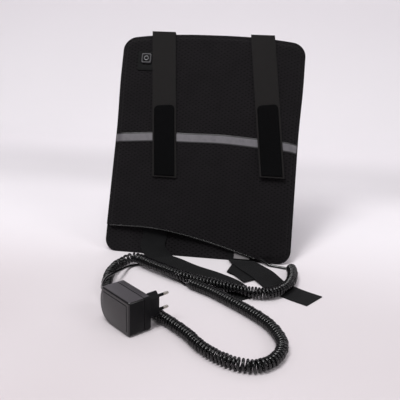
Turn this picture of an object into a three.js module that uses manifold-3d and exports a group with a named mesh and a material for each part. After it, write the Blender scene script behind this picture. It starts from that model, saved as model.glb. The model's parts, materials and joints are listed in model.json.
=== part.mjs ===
// Fabric heating pad that leans back on its foot: a two-panel mesh sleeve with a heating sheet inside,
// hook-and-loop straps, a push-button controller, and a curly cord to a plug-in power adapter.
// Millimetres, +Z up. The pad faces -Y, and +X is to its right.

import * as THREE from 'three';
import { mergeVertices } from 'three/addons/utils/BufferGeometryUtils.js';
import Module from 'manifold-3d';

const wasm = await Module();
wasm.setup();

const { degToRad, clamp, lerp, smoothstep } = THREE.MathUtils;

// Fit
const clearance = 0.3;
const cutOverrun = 5;

// Pad
const padWidth = 294;
const padHeight = 362;
const padCornerRadius = 20;
const padLean = degToRad(26);
const footSink = 1.3;
const crownBow = 2.6;
const crownPower = 2.5;
const crownLevelShare = 0.28;
const topFlare = 2.8;
const topFlareMargin = 60;
const backPanelThickness = 4;
const backPanelEdgeRound = 1.2;
const frontPanelThickness = 4;
const frontPanelEdgeRound = 3.5;
const frontPanelEdgeThickness = 1.5;
const pocketDepth = 3.6;
const seamMargin = 2.5;
const seamRise = 9;

// Mouth of the sleeve, along the front panel's curved hem
const hemHeight = 42;
const hemStartShare = -0.306;
const hemEndShare = 0.374;
const hemPower = 1.6;
const mouthLift = 5;
const mouthCentreShare = -0.2;
const mouthReachShare = 0.3;
const mouthFade = 60;
const mouthEndRun = 14;
const leftMouthRise = 2;
const rightMouthRise = 0.2;
const hemBindingDiameter = 2.8;

// Heating sheet in the sleeve
const carrierThickness = 0.8;
const carrierSideMargin = 24;
const carrierFoot = 76;
const carrierTopMargin = 66;
const wireDiameter = 1.4;
const wireRuns = 8;
const wireEdgeMargin = 16;
const cutoutLength = 15;
const cutoutWidth = 6.4;
const cutoutThickness = 1.8;
const cutoutCornerRadius = 1;
const cutoutEdgeRound = 0.4;
const innerLeadDiameter = 1.8;
const leadBend = 7;

// Reflective band
const bandWidth = 15.5;
const bandThickness = 0.6;
const bandHeight = 189;
const bandLeftDroop = 6;
const bandRightDroop = 9;
const bandEndMargin = 1.5;

// Label tab, left bare
const tagWidth = 24;
const tagLength = 14;
const tagFoot = 3;
const tagTilt = degToRad(5);
const tagThickness = 0.5;
const tagShare = 0.246;

// Controller and push button
const patchWidth = 29;
const patchHeight = 32;
const patchThickness = 1;
const patchCornerRadius = 2.5;
const bezelSide = 16;
const bezelCornerRadius = 2.4;
const bezelHeight = 3.4;
const bezelOverhang = 1;
const controllerFromTop = 44.5;
const controllerStrapGap = 1.9;
const patchDrop = 3.8;
const buttonOverPatch = 3.5;
const buttonTravel = 0.8;
const buttonCapHeight = 3.2;
const buttonCornerRadius = 1.4;
const buttonEdgeRound = 0.4;
const ringOuterRadius = 3.8;
const ringWidth = 1;
const ringHeight = 0.5;
const housingWall = 1.2;
const collarCornerRadius = 1;
const boardThickness = 1.2;
const boardDepth = 3.4;
const switchSide = 6;
const switchCornerRadius = 0.6;
const switchStemDiameter = 3.4;
const switchStemHeight = 1;
const backPlateThickness = 1;
const backPlateOverlap = 4;
const backPlateCornerRadius = 2;

// Straps
const strapWidth = 38.5;
const strapThickness = 1.4;
const leftStrapLength = 243;
const rightStrapLength = 235;
const leftStrapShare = -0.281;
const rightStrapShare = 0.271;
const leftStrapEndLift = 0.4;
const rightStrapEndLift = 4;
const leftStrapTilt = degToRad(5.5);
const rightStrapTilt = degToRad(7.6);
const strapEndPower = 7;
const strapRows = 20;
const strapBackReach = 38;
const strapTopRadius = 2.4;
const hookPatchLength = 116;
const hookPatchWidth = 33;
const hookPatchThickness = 1.3;
const hookPatchEndMargin = 2;
const hookPatchCornerRadius = 7;
const lowerStrapRoot = 56;
const floorGap = 0.12;

// Cord
const cordDiameter = 3.8;
const curlDiameter = 15.6;
const curlCount = 96;
const curlSteps = 8;
const curlSides = 5;
const curlRelaxTurns = 1.5;
const glandRise = 7;
const glandSpan = 14.1;
const glandTipForward = 12.6;
const glandTipHeight = 3.6;
const glandDiameter = 5.6;
const glandStrapGap = 6.3;
const glandRibShare = 0.9;
const cordSides = 8;

// Plug-in power adapter
const adapterX = -38;
const adapterY = -260;
const adapterTurn = degToRad(-41.2);
const adapterLength = 61;
const adapterHeight = 46;
const adapterFrontDepth = 19.5;
const adapterRearDepth = 10.7;
const adapterWall = 2;
const adapterFootRadius = 5;
const adapterTopRadius = 3;
const adapterBow = 8;
const adapterBowHeight = 26;
const adapterFootBow = 6;
const adapterFootSweep = 21;
const adapterEdgeRound = 2.8;
const adapterHollowRadius = 16;
const facePanelRise = 0.8;
const facePanelMargin = 5;
const gripRibs = 22;
const gripRibWidth = 1.1;
const gripRibPitch = 2.2;
const gripRibRise = 0.4;
const neckWidth = 13.7;
const neckHeight = 35.3;
const neckLength = 11.5;
const neckChamfer = 6.3;
const plugHeight = 30;
const pinSpacing = 19;
const pinDiameter = 4;
const pinLength = 19;
const pinCoreDiameter = 2.8;
const pinSleeveLength = 10;
const pinSleeveInset = 4;
const pinRootDepth = 5;
const reliefLength = 20;
const reliefDiameter = 8;
const reliefHeight = 23;
const reliefRibs = 4;
const reliefRibShare = 0.86;
const boardWidth = 30;
const coreLength = 18;
const coreDepth = 11;
const coreHeight = 16;
const bobbinHeight = 22.4;

// Heights in the pad, measured forward from its back face
const pocketFloor = backPanelThickness + clearance;
const pocketRoof = backPanelThickness + pocketDepth;
const padFront = pocketRoof + frontPanelThickness;
const strapBackFace = padFront + patchThickness + 2 * clearance;
const upperStrapX = { left: leftStrapShare * padWidth, right: rightStrapShare * padWidth };
const strapInnerEdge = Math.min(-upperStrapX.left, upperStrapX.right) - strapWidth / 2;
const hingeHeight = padHeight + crownAt(strapInnerEdge) + strapThickness / 2 + clearance;
const hingeDepth = strapBackFace + strapThickness / 2;

const colours = {
  mesh: 0x1f1c1f, lining: 0x191719, felt: 0x3a3838, wire: 0x8a2a22, capsule: 0xb9b4aa, band: 0x5f5c61,
  binding: 0x2a2829, tag: 0x9b9899, silicone: 0x19191a, rim: 0x77777a, ring: 0x9c9ca0, board: 0x24523a,
  webbing: 0x252324, hook: 0x111113, loop: 0x161618, cord: 0x0e0e10, gloss: 0x4a4449, matte: 0x1c1c1f,
  sleeve: 0x141416, metal: 0xc9c4bc,
};

function finish(colour, roughness, metalness = 0) {
  return new THREE.MeshStandardMaterial({ color: colour, roughness, metalness });
}

function part(name, geometry, material) {
  const mesh = new THREE.Mesh(geometry, material);
  mesh.name = name;
  return mesh;
}

// Solids from grids, tubes and ribbons

function closedGrid(columns, rows, front, back) {
  const positions = [];
  const index = [];
  for (const side of [back, front]) {
    for (let i = 0; i <= columns; i++) {
      for (let j = 0; j <= rows; j++) positions.push(...side(i, j).toArray());
    }
  }
  const at = (side, i, j) => side * (columns + 1) * (rows + 1) + i * (rows + 1) + j;
  const quad = (a, b, c, d) => index.push(a, b, c, a, c, d);
  for (let i = 0; i < columns; i++) {
    for (let j = 0; j < rows; j++) {
      quad(at(1, i, j), at(1, i + 1, j), at(1, i + 1, j + 1), at(1, i, j + 1));
      quad(at(0, i, j), at(0, i, j + 1), at(0, i + 1, j + 1), at(0, i + 1, j));
    }
    quad(at(0, i, 0), at(0, i + 1, 0), at(1, i + 1, 0), at(1, i, 0));
    quad(at(1, i, rows), at(1, i + 1, rows), at(0, i + 1, rows), at(0, i, rows));
  }
  for (let j = 0; j < rows; j++) {
    quad(at(0, 0, j + 1), at(0, 0, j), at(1, 0, j), at(1, 0, j + 1));
    quad(at(0, columns, j), at(0, columns, j + 1), at(1, columns, j + 1), at(1, columns, j));
  }
  return indexed(positions, index);
}

function indexed(positions, index) {
  const geometry = new THREE.BufferGeometry();
  geometry.setAttribute('position', new THREE.Float32BufferAttribute(positions, 3));
  geometry.setIndex(index);
  return geometry;
}

function tangentAt(points, i) {
  const before = points[Math.max(0, i - 1)];
  const after = points[Math.min(points.length - 1, i + 1)];
  return after.clone().sub(before).normalize();
}

function sweep(points, section) {
  const positions = [];
  const index = [];
  const sides = section(0).length;
  points.forEach((point, i) => section(i).forEach((offset) => positions.push(...point.clone().add(offset).toArray())));
  for (let i = 0; i < points.length - 1; i++) {
    for (let s = 0; s < sides; s++) {
      const a = i * sides + s;
      const b = i * sides + ((s + 1) % sides);
      index.push(a, b, b + sides, a, b + sides, a + sides);
    }
  }
  const last = (points.length - 1) * sides;
  for (let s = 1; s < sides - 1; s++) {
    index.push(0, s + 1, s);
    index.push(last, last + s, last + s + 1);
  }
  return indexed(positions, index);
}

function tube(points, radiusAt, sides) {
  const frames = [];
  let normal = new THREE.Vector3(0, 0, 1);
  points.forEach((point, i) => {
    const tangent = tangentAt(points, i);
    normal.sub(tangent.clone().multiplyScalar(normal.dot(tangent)));
    if (normal.length() < 0.01) normal = new THREE.Vector3(1, 0, 0).cross(tangent);
    normal.normalize();
    frames.push({ normal: normal.clone(), binormal: tangent.clone().cross(normal) });
  });
  return sweep(points, (i) => {
    const radius = radiusAt(i);
    return Array.from({ length: sides }, (_, s) => {
      const angle = (2 * Math.PI * s) / sides;
      const { normal: n, binormal: b } = frames[i];
      return n.clone().multiplyScalar(radius * Math.cos(angle)).addScaledVector(b, radius * Math.sin(angle));
    });
  });
}

function ribbon(points, width, thickness, acrossAt) {
  return sweep(points, (i) => {
    const tangent = tangentAt(points, i);
    const across = acrossAt(i).clone();
    const up = across.clone().cross(tangent).normalize().multiplyScalar(thickness / 2);
    const half = across.normalize().multiplyScalar(width / 2);
    return [
      half.clone().add(up),
      half.clone().sub(up),
      half.clone().negate().sub(up),
      half.clone().negate().add(up),
    ];
  });
}

function smoothPath(points, steps) {
  return new THREE.CatmullRomCurve3(points, false, 'centripetal').getSpacedPoints(steps);
}

// Booleans

function toSolid(geometry) {
  const bare = geometry.clone();
  bare.deleteAttribute('normal');
  bare.deleteAttribute('uv');
  const merged = mergeVertices(bare, 1e-5);
  return new wasm.Manifold(new wasm.Mesh({
    numProp: 3,
    vertProperties: merged.attributes.position.array,
    triVerts: Uint32Array.from(merged.index.array),
  }));
}

function toGeometry(solid) {
  const mesh = solid.getMesh();
  return indexed(Array.from(mesh.vertProperties), Array.from(mesh.triVerts));
}

const cut = (body, ...tools) => toGeometry(tools.reduce((rest, tool) => rest.subtract(toSolid(tool)), toSolid(body)));
const join = (body, ...more) => toGeometry(more.reduce((all, piece) => all.add(toSolid(piece)), toSolid(body)));

// Outlines

function roundedOutline(left, bottom, right, top, radii, Kind = THREE.Shape) {
  const [leftFoot, rightFoot, rightTop, leftTop] = Array.isArray(radii) ? radii : Array(4).fill(radii);
  const outline = new Kind();
  outline.moveTo(left + leftFoot, bottom);
  outline.lineTo(right - rightFoot, bottom);
  outline.absarc(right - rightFoot, bottom + rightFoot, rightFoot, -Math.PI / 2, 0, false);
  outline.lineTo(right, top - rightTop);
  outline.absarc(right - rightTop, top - rightTop, rightTop, 0, Math.PI / 2, false);
  outline.lineTo(left + leftTop, top);
  outline.absarc(left + leftTop, top - leftTop, leftTop, Math.PI / 2, Math.PI, false);
  outline.lineTo(left, bottom + leftFoot);
  outline.absarc(left + leftFoot, bottom + leftFoot, leftFoot, Math.PI, 1.5 * Math.PI, false);
  return outline;
}

function centredOutline(width, height, radius, Kind = THREE.Shape) {
  return roundedOutline(-width / 2, -height / 2, width / 2, height / 2, radius, Kind);
}

function plate(outline, thickness, curveSegments = 6) {
  return new THREE.ExtrudeGeometry(outline, { depth: thickness, bevelEnabled: false, curveSegments });
}

function softPlate(outline, thickness, round, curveSegments = 6) {
  return new THREE.ExtrudeGeometry(outline, {
    depth: thickness - 2 * round,
    bevelThickness: round,
    bevelSize: round,
    bevelOffset: -round,
    bevelSegments: 2,
    curveSegments,
  }).translate(0, 0, round);
}

// The pad's frame: x across, y up along the leaning pad, z forward out of its front

const pad = new THREE.Group();
pad.rotation.x = Math.PI / 2 - padLean;
pad.position.z = -footSink;
pad.updateMatrixWorld(true);

const onPad = (across, up, forward) => new THREE.Vector3(across, up, forward).applyMatrix4(pad.matrixWorld);

function edgeDistance(across, up) {
  const x = Math.abs(across) - (padWidth / 2 - padCornerRadius);
  const y = Math.abs(up - padHeight / 2) - (padHeight / 2 - padCornerRadius);
  const outside = Math.hypot(Math.max(x, 0), Math.max(y, 0));
  return padCornerRadius - outside - Math.min(Math.max(x, y), 0);
}

function cornerRise(across) {
  const into = Math.abs(across) - (padWidth / 2 - padCornerRadius);
  return into > 0 ? padCornerRadius - Math.sqrt(Math.max(0, padCornerRadius ** 2 - into ** 2)) : 0;
}

function hemLine(across) {
  const start = hemStartShare * padWidth;
  const end = hemEndShare * padWidth;
  const along = clamp((across - start) / (end - start), 0, 1);
  return hemHeight * (1 - along ** hemPower);
}

// The hung sleeve's top edge is highest between the straps and droops at its corners, and its upper half spreads

function crownAt(across) {
  return crownBow * (1 - (Math.abs(across) / (crownLevelShare * padWidth)) ** crownPower);
}

function draped(across, up) {
  const flare = topFlare * smoothstep(up, bandHeight, padHeight - topFlareMargin);
  const droop = crownAt(across) * smoothstep(up, padHeight / 2, padHeight);
  return new THREE.Vector2(across * (1 + flare / (padWidth / 2)), up + droop);
}

const footLine = (across) => Math.max(cornerRise(across), hemLine(across));
const crownLine = (across) => padHeight - cornerRise(across);

function liftAt(across, up) {
  const off = (across - mouthCentreShare * padWidth) / (mouthReachShare * padWidth);
  const swell = Math.abs(off) < 1 ? (1 + Math.cos(Math.PI * off)) / 2 : 0;
  return mouthLift * swell * (1 - smoothstep(up - hemLine(across), 0, mouthFade));
}

function innerFace(across, up) {
  const mouthEnd = hemEndShare * padWidth;
  const open = 1 - smoothstep(across, mouthEnd - mouthEndRun, mouthEnd);
  const unsewn = up < padHeight / 2 ? (seamMargin + seamRise) * open : 0;
  const distance = edgeDistance(across, up + unsewn);
  const rise = smoothstep(distance, seamMargin, seamMargin + seamRise);
  return pocketFloor + (pocketDepth - clearance) * rise + liftAt(across, up);
}

function outerFace(across, up) {
  const reach = clamp(edgeDistance(across, up) / frontPanelEdgeRound, 0, 1);
  const fullness = Math.sqrt(1 - (1 - reach) ** 2);
  return innerFace(across, up) + lerp(frontPanelEdgeThickness, frontPanelThickness, fullness);
}

// Panels of the sleeve

const cornerShares = [0, 0.07, 0.2, 0.4, 0.65, 1];
const middleColumns = 12;
const middleRows = 13;

function spread(low, high, middle) {
  const near = cornerShares.map((share) => low + share * padCornerRadius);
  const far = cornerShares.map((share) => high - share * padCornerRadius).reverse();
  const gap = (far[0] - near.at(-1)) / middle;
  const between = Array.from({ length: middle - 1 }, (_, k) => near.at(-1) + gap * (k + 1));
  return [...near, ...between, ...far];
}

function frontPanel() {
  const columns = spread(-padWidth / 2, padWidth / 2, middleColumns);
  const rows = columns.map((across) => spread(footLine(across), crownLine(across), middleRows));
  const side = (face) => (i, j) => {
    const place = draped(columns[i], rows[i][j]);
    return new THREE.Vector3(place.x, place.y, face(columns[i], rows[i][j]));
  };
  const sheet = closedGrid(columns.length - 1, rows[0].length - 1, side(outerFace), side(innerFace));
  const window = plate(centredOutline(windowSide, windowSide, collarCornerRadius), padFront)
    .translate(controllerX, controllerY, pocketFloor);
  return cut(sheet, window, tube([glandInner, glandTip], () => glandDiameter / 2 + clearance, 12)
    .applyMatrix4(pad.matrixWorld.clone().invert()));
}

const flareShares = [0, 0.25, 0.5, 0.75, 1];

function backOutline() {
  const edge = padWidth / 2;
  const columns = spread(-edge, edge, middleColumns);
  const foot = columns.filter((across) => Math.abs(across) > edge - padCornerRadius - clearance)
    .map((across) => [across, cornerRise(across)]);
  const crown = columns.map((across) => [across, crownLine(across)]).reverse();
  const heights = flareShares.map((share) => lerp(bandHeight, padHeight - topFlareMargin, share));
  const right = heights.map((up) => [edge, up]);
  const left = heights.map((up) => [-edge, up]).reverse();
  return new THREE.Shape([...foot, ...right, ...crown, ...left].map(([across, up]) => draped(across, up)));
}

function backPanel() {
  const panel = softPlate(backOutline(), backPanelThickness, backPanelEdgeRound);
  const underFloor = new THREE.BoxGeometry(padWidth + cutOverrun, padHeight, padHeight)
    .translate(0, 0, -padHeight / 2)
    .applyMatrix4(pad.matrixWorld.clone().invert());
  return cut(panel, underFloor);
}

function hemBinding() {
  const start = -padWidth / 2 + seamMargin + hemBindingDiameter;
  const end = glandX - glandDiameter;
  const steps = 30;
  const radius = hemBindingDiameter / 2;
  const points = Array.from({ length: steps + 1 }, (_, k) => {
    const across = lerp(start, end, k / steps);
    const hem = footLine(across);
    const middle = (innerFace(across, hem) + outerFace(across, hem)) / 2;
    return new THREE.Vector3(across, hem - radius - 1.5 * clearance, middle);
  });
  return tube(points, () => radius, cordSides);
}

function bandCentre(across) {
  const droop = across < 0 ? bandLeftDroop : bandRightDroop;
  return bandHeight - droop * (across / (padWidth / 2)) ** 2;
}

function reflectiveBand() {
  const reach = padWidth / 2 - bandEndMargin;
  const columns = spread(-reach, reach, middleColumns);
  const side = (above) => (i, j) => {
    const across = columns[i];
    const up = bandCentre(across) + (j - 0.5) * bandWidth;
    return new THREE.Vector3(across, up, outerFace(across, up) + clearance + above);
  };
  return closedGrid(columns.length - 1, 1, side(bandThickness), side(0));
}

function labelTab() {
  const outline = roundedOutline(-tagWidth / 2, -tagLength, tagWidth / 2, 0, tagThickness);
  return plate(outline, tagThickness, 1)
    .rotateX(-tagTilt)
    .translate(tagShare * padWidth, tagFoot + tagLength, pocketLevel + strapThickness / 2 + clearance);
}

// Heating sheet

const carrierHalf = padWidth / 2 - carrierSideMargin;
const carrierTop = padHeight - carrierTopMargin;
const wireLevel = pocketFloor + carrierThickness + clearance + wireDiameter / 2;

function carrier() {
  return plate(roundedOutline(-carrierHalf, carrierFoot, carrierHalf, carrierTop, wireEdgeMargin / 2), carrierThickness)
    .translate(0, 0, pocketFloor);
}

function heatingWire() {
  const left = -carrierHalf + wireEdgeMargin;
  const right = carrierHalf - wireEdgeMargin;
  const pitch = (carrierTop - carrierFoot - 2 * wireEdgeMargin) / (wireRuns - 1);
  const bend = pitch / 2;
  const bendSteps = 6;
  const points = [];
  for (let run = 0; run < wireRuns; run++) {
    const up = carrierFoot + wireEdgeMargin + run * pitch;
    const toLeft = run % 2 === 0;
    const [from, to] = toLeft ? [right - bend, left + bend] : [left + bend, right - bend];
    points.push(new THREE.Vector3(from, up, wireLevel), new THREE.Vector3(to, up, wireLevel));
    for (let k = 1; k < bendSteps && run < wireRuns - 1; k++) {
      const angle = (Math.PI * k) / bendSteps;
      const out = bend * Math.sin(angle) * (toLeft ? -1 : 1);
      points.push(new THREE.Vector3(to + out, up + bend - bend * Math.cos(angle), wireLevel));
    }
  }
  return tube(points, () => wireDiameter / 2, 6);
}

const wireStart = new THREE.Vector3(
  carrierHalf - wireEdgeMargin - (carrierTop - carrierFoot - 2 * wireEdgeMargin) / (wireRuns - 1) / 2,
  carrierFoot + wireEdgeMargin,
  wireLevel,
);

function thermalCutout() {
  const outline = centredOutline(cutoutLength, cutoutWidth, cutoutCornerRadius);
  return softPlate(outline, cutoutThickness, cutoutEdgeRound, 2).translate(
    wireStart.x + clearance + cutoutLength / 2,
    wireStart.y,
    pocketFloor + carrierThickness + clearance,
  );
}

// Controller on the front panel

const housingSide = bezelSide - 2 * bezelOverhang;
const windowSide = housingSide + 2 * clearance;
const housingBore = housingSide - 2 * housingWall;
const strapEdgeX = upperStrapX.left + controllerFromTop * Math.tan(leftStrapTilt) - strapWidth / 2;
const controllerX = strapEdgeX - controllerStrapGap - bezelSide / 2;
const controllerY = padHeight - controllerFromTop;
const patchBase = padFront + clearance;
const bezelBase = patchBase + patchThickness;
const boardLevel = padFront - boardDepth;
const buttonTop = bezelBase + buttonOverPatch;
const buttonFoot = buttonTop - buttonCapHeight;
const switchTop = buttonFoot - buttonTravel - clearance;
const onController = (geometry, forward) => geometry.translate(controllerX, controllerY, forward);

function controllerPatch() {
  const foot = -patchHeight / 2 - patchDrop;
  const outline = roundedOutline(-patchWidth / 2, foot, patchWidth / 2, foot + patchHeight, patchCornerRadius);
  outline.holes.push(centredOutline(windowSide, windowSide, collarCornerRadius, THREE.Path));
  return onController(plate(outline, patchThickness, 3), patchBase);
}

function controllerHousing() {
  const rim = centredOutline(bezelSide, bezelSide, bezelCornerRadius);
  rim.holes.push(centredOutline(housingBore, housingBore, buttonCornerRadius, THREE.Path));
  const collar = centredOutline(housingSide, housingSide, collarCornerRadius);
  collar.holes.push(centredOutline(housingBore, housingBore, buttonCornerRadius, THREE.Path));
  const stem = pocketRoof + clearance;
  const top = onController(plate(rim, bezelHeight, 3), bezelBase + clearance);
  const tail = onController(plate(collar, bezelBase + 3 * clearance - stem, 3), stem);
  return join(top, tail);
}

function controllerBackPlate() {
  const side = housingSide + 2 * backPlateOverlap;
  const outline = centredOutline(side, side, backPlateCornerRadius);
  return onController(plate(outline, backPlateThickness, 3), pocketRoof - clearance - backPlateThickness);
}

function controllerBoard() {
  const side = housingBore - 2 * clearance;
  return onController(plate(centredOutline(side, side, buttonCornerRadius), boardThickness, 2), boardLevel);
}

function buttonSwitch() {
  const base = boardLevel + boardThickness + clearance;
  const canHeight = switchTop - base - switchStemHeight;
  const can = plate(centredOutline(switchSide, switchSide, switchCornerRadius), canHeight, 2);
  const radius = switchStemDiameter / 2;
  const stem = new THREE.CylinderGeometry(radius, radius, 2 * switchStemHeight, 12).rotateX(Math.PI / 2);
  return onController(join(can, stem.translate(0, 0, canHeight)), base);
}

const buttonSide = housingBore - 2 * clearance;

function buttonCap() {
  const outline = centredOutline(buttonSide, buttonSide, buttonCornerRadius);
  const cap = softPlate(outline, buttonCapHeight, buttonEdgeRound, 3);
  const groove = ringBand(clearance).translate(0, 0, buttonCapHeight - ringHeight);
  return onController(cut(cap, groove), buttonFoot);
}

function ringBand(margin) {
  const ring = new THREE.Shape().absarc(0, 0, ringOuterRadius + margin, 0, 2 * Math.PI, false);
  ring.holes.push(new THREE.Path().absarc(0, 0, ringOuterRadius - ringWidth - margin, 0, 2 * Math.PI, true));
  return plate(ring, ringHeight + (margin ? cutOverrun : 0), 10);
}

function buttonRing() {
  return onController(ringBand(0), buttonTop - ringHeight + clearance);
}

// Upper straps: sewn to the back, over the top edge, hanging on the front

function strapTrack(side) {
  const [length, tilt, endLift] = side === 'left'
    ? [leftStrapLength, leftStrapTilt, leftStrapEndLift]
    : [rightStrapLength, rightStrapTilt, rightStrapEndLift];
  return Array.from({ length: strapRows + 1 }, (_, row) => {
    const along = row / strapRows;
    return {
      across: upperStrapX[side] + along * length * Math.sin(tilt),
      up: hingeHeight - along * length * Math.cos(tilt),
      turn: tilt * (1 - Math.abs(2 * along - 1) ** strapEndPower),
      lift: endLift * along ** strapEndPower,
    };
  });
}

function strapPiece(side, shares, widthAt, back, thickness) {
  const track = strapTrack(side);
  const onRow = ({ across, up, turn, lift }, off, forward) => new THREE.Vector3(
    across + off * Math.cos(turn),
    up + off * Math.sin(turn),
    forward + lift,
  );
  const face = (forward) => (i, j) => {
    const at = shares[i] * strapRows;
    const row = Math.min(Math.floor(at + 1e-6), strapRows - 1);
    const off = (j - 0.5) * widthAt(shares[i]);
    return onRow(track[row], off, forward).lerp(onRow(track[row + 1], off, forward), at - row);
  };
  return closedGrid(shares.length - 1, 1, face(back + thickness), face(back));
}

function upperStrap(side) {
  const knuckle = new THREE.CylinderGeometry(strapThickness / 2, strapThickness / 2, strapWidth, 8)
    .rotateZ(Math.PI / 2)
    .translate(upperStrapX[side], hingeHeight, hingeDepth);
  const shares = Array.from({ length: strapRows + 1 }, (_, row) => row / strapRows);
  return join(strapPiece(side, shares, () => strapWidth, strapBackFace, strapThickness), knuckle);
}

function hookPatch(side) {
  const length = side === 'left' ? leftStrapLength : rightStrapLength;
  const end = 1 - hookPatchEndMargin / length;
  const start = end - hookPatchLength / length;
  const corner = hookPatchCornerRadius / length;
  const arch = cornerShares.slice(0, -1).map((share) => start + share * corner);
  const between = Array.from({ length: strapRows }, (_, row) => row / strapRows);
  const shares = [...arch, start + corner, ...between.filter((share) => share > start + corner && share < end), end];
  const widthAt = (share) => {
    const into = Math.max(0, hookPatchCornerRadius - (share - start) * length);
    return hookPatchWidth - 2 * (hookPatchCornerRadius - Math.sqrt(hookPatchCornerRadius ** 2 - into ** 2));
  };
  return strapPiece(side, shares, widthAt, strapBackFace + strapThickness + clearance, hookPatchThickness);
}

function strapRoot(side) {
  const half = strapThickness / 2;
  const behind = -clearance - half;
  const corner = hingeHeight - strapTopRadius;
  const bendSteps = 4;
  const bend = (centre) => Array.from({ length: bendSteps + 1 }, (_, k) => {
    const angle = (Math.PI / 2) * (k / bendSteps);
    return new THREE.Vector3(
      upperStrapX[side],
      corner + strapTopRadius * Math.sin(angle),
      centre - strapTopRadius * Math.cos(angle),
    );
  });
  const points = [
    new THREE.Vector3(upperStrapX[side], hingeHeight - strapBackReach, behind),
    ...bend(behind + strapTopRadius),
    new THREE.Vector3(upperStrapX[side], hingeHeight, hingeDepth - half - clearance),
  ];
  return ribbon(points, strapWidth, strapThickness, () => new THREE.Vector3(1, 0, 0));
}

// Lower straps: out of the mouth and across the floor. Places in the mouth are shares of the pad's width,
// and those on the floor of the strap's.

const floorLevel = floorGap + strapThickness / 2;
const secondLevel = floorLevel + strapThickness + clearance;
const thirdLevel = secondLevel + strapThickness + 2 * clearance;
const pocketLevel = pocketFloor + strapThickness / 2 + clearance;

const lowerStrapShares = {
  left: [
    [-1.504, -0.412, 30, 1], [-0.725, -0.886, 58, 1], [0.03, -1.4, 65, 1],
    [0.96, -1.9, 60, 1], [1.711, -2.467, 46, 1], [2.283, -3.482, 40, 1],
  ],
  right: [
    [1.93, -0.35, 6, 3], [2.237, -0.764, 24, 3], [2.803, -1.451, 38, 3], [3.375, -2.184, 45, 1],
    [4.024, -2.726, 52, 1], [4.727, -3.146, 56, 1],
  ],
};
const lowerStrapMouthShares = {
  left: [[-0.238, 0.094, 0], [-0.276, 0.042, -8]],
  right: [[0.246, 0.07, 0], [0.243, 0.005, 0]],
};
const foldedTailShares = [
  [2.13, -1.19, 66, 1], [1.71, -0.96, 74, 1], [1.51, -0.82, 80, 1.5], [1.55, -0.84, 80, 2],
  [1.92, -1.14, 68, 2], [2.52, -1.82, 42, 2],
];
const levels = { 1: floorLevel, 1.5: (floorLevel + secondLevel) / 2, 2: secondLevel, 3: thirdLevel };

const inPadPlane = (degrees) => flatAcross(degrees).transformDirection(pad.matrixWorld);
const flatAcross = (degrees) => new THREE.Vector3(Math.cos(degToRad(degrees)), Math.sin(degToRad(degrees)), 0);

function settled(point) {
  const local = point.clone().applyMatrix4(pad.matrixWorld.clone().invert());
  local.z = Math.max(local.z, pocketLevel);
  const rested = local.applyMatrix4(pad.matrixWorld);
  return rested.setZ(Math.max(rested.z, floorLevel));
}

function bandedRibbon(stations, steps) {
  const middle = new THREE.CatmullRomCurve3(stations.map((s) => s.point), false, 'centripetal');
  const edge = new THREE.CatmullRomCurve3(stations.map((s) => s.across), false, 'centripetal');
  const points = Array.from({ length: steps + 1 }, (_, k) => settled(middle.getPoint(k / steps)));
  return ribbon(points, strapWidth, strapThickness, (i) => edge.getPoint(i / steps));
}

const floorStations = (shares) => shares.map(([x, y, turn, level]) => ({
  point: new THREE.Vector3(x * strapWidth, y * strapWidth, levels[level]),
  across: flatAcross(turn),
}));

function lowerStrap(side) {
  const [first, second] = lowerStrapMouthShares[side];
  const rise = side === 'left' ? leftMouthRise : rightMouthRise;
  const root = [
    { point: onPad(first[0] * padWidth, lowerStrapRoot, pocketLevel), across: inPadPlane(0) },
    { point: onPad(first[0] * padWidth, first[1] * padWidth, pocketLevel), across: inPadPlane(first[2]) },
    {
      point: onPad(second[0] * padWidth, second[1] * padWidth, pocketLevel + rise),
      across: inPadPlane(second[2]),
    },
  ];
  return bandedRibbon([...root, ...floorStations(lowerStrapShares[side])], 22);
}

function foldedTail() {
  return bandedRibbon(floorStations(foldedTailShares), 12);
}

// Cord route, chosen by hand: x, y and the height of what it lies on

const onStraps = floorLevel + strapThickness / 2 + floorGap;
const onCord = cordDiameter + 2 * floorGap;
const coilRoute = [
  [147, -18, 0], [149.5, -35, 0], [151, -55, onStraps], [149.5, -79, onStraps], [141.3, -104, onStraps],
  [122, -124, onStraps], [101, -127, onStraps], [74, -119, onStraps], [51.3, -109.5, onStraps],
  [20.6, -93.6, onStraps], [-10.7, -80, onCord], [-35.5, -67.5, onCord], [-61.1, -54.8, onCord],
  [-88, -48.5, onCord], [-104.5, -65.1, 0], [-111.1, -95.8, 0], [-108.8, -126.4, 0], [-101.6, -150, 0],
  [-88, -165, 0], [-66, -176, 0], [-43, -190, 0], [-23, -205, 0], [-6, -219.5, 0], [12, -236, 0],
  [30, -254, 0], [46, -274, 0], [66.8, -291.9, 0], [90.5, -304.1, 0], [112.3, -306.1, 0],
  [128.6, -294.9, 0], [139.1, -274, 0], [140.8, -251.5, 0], [133, -227.1, 0], [119.8, -204.6, 0],
  [94.1, -177.5, 0], [67.5, -153.5, 0], [46.8, -134, 0], [23.7, -117.5, 0], [4, -106, 0], [-12, -97, 0],
];
const tailRoute = [
  [-23, -88, 2.1], [-33, -76, 2.02], [-47, -64, 2.02], [-62, -56.5, 2.02], [-76, -52.8, 2.02],
  [-85, -55.5, 2.02], [-91, -66, 4], [-94, -93, 11],
  [-98.4, -124.7, 17.9], [-103, -140, 18.6], [-103.5, -152, 18.6], [-102, -164, 18.7],
  [-99, -175, 20.4], [-95.5, -182.5, 22.2],
];

const cordRadius = cordDiameter / 2;
const curlRadius = (curlDiameter - cordDiameter) / 2;

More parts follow.
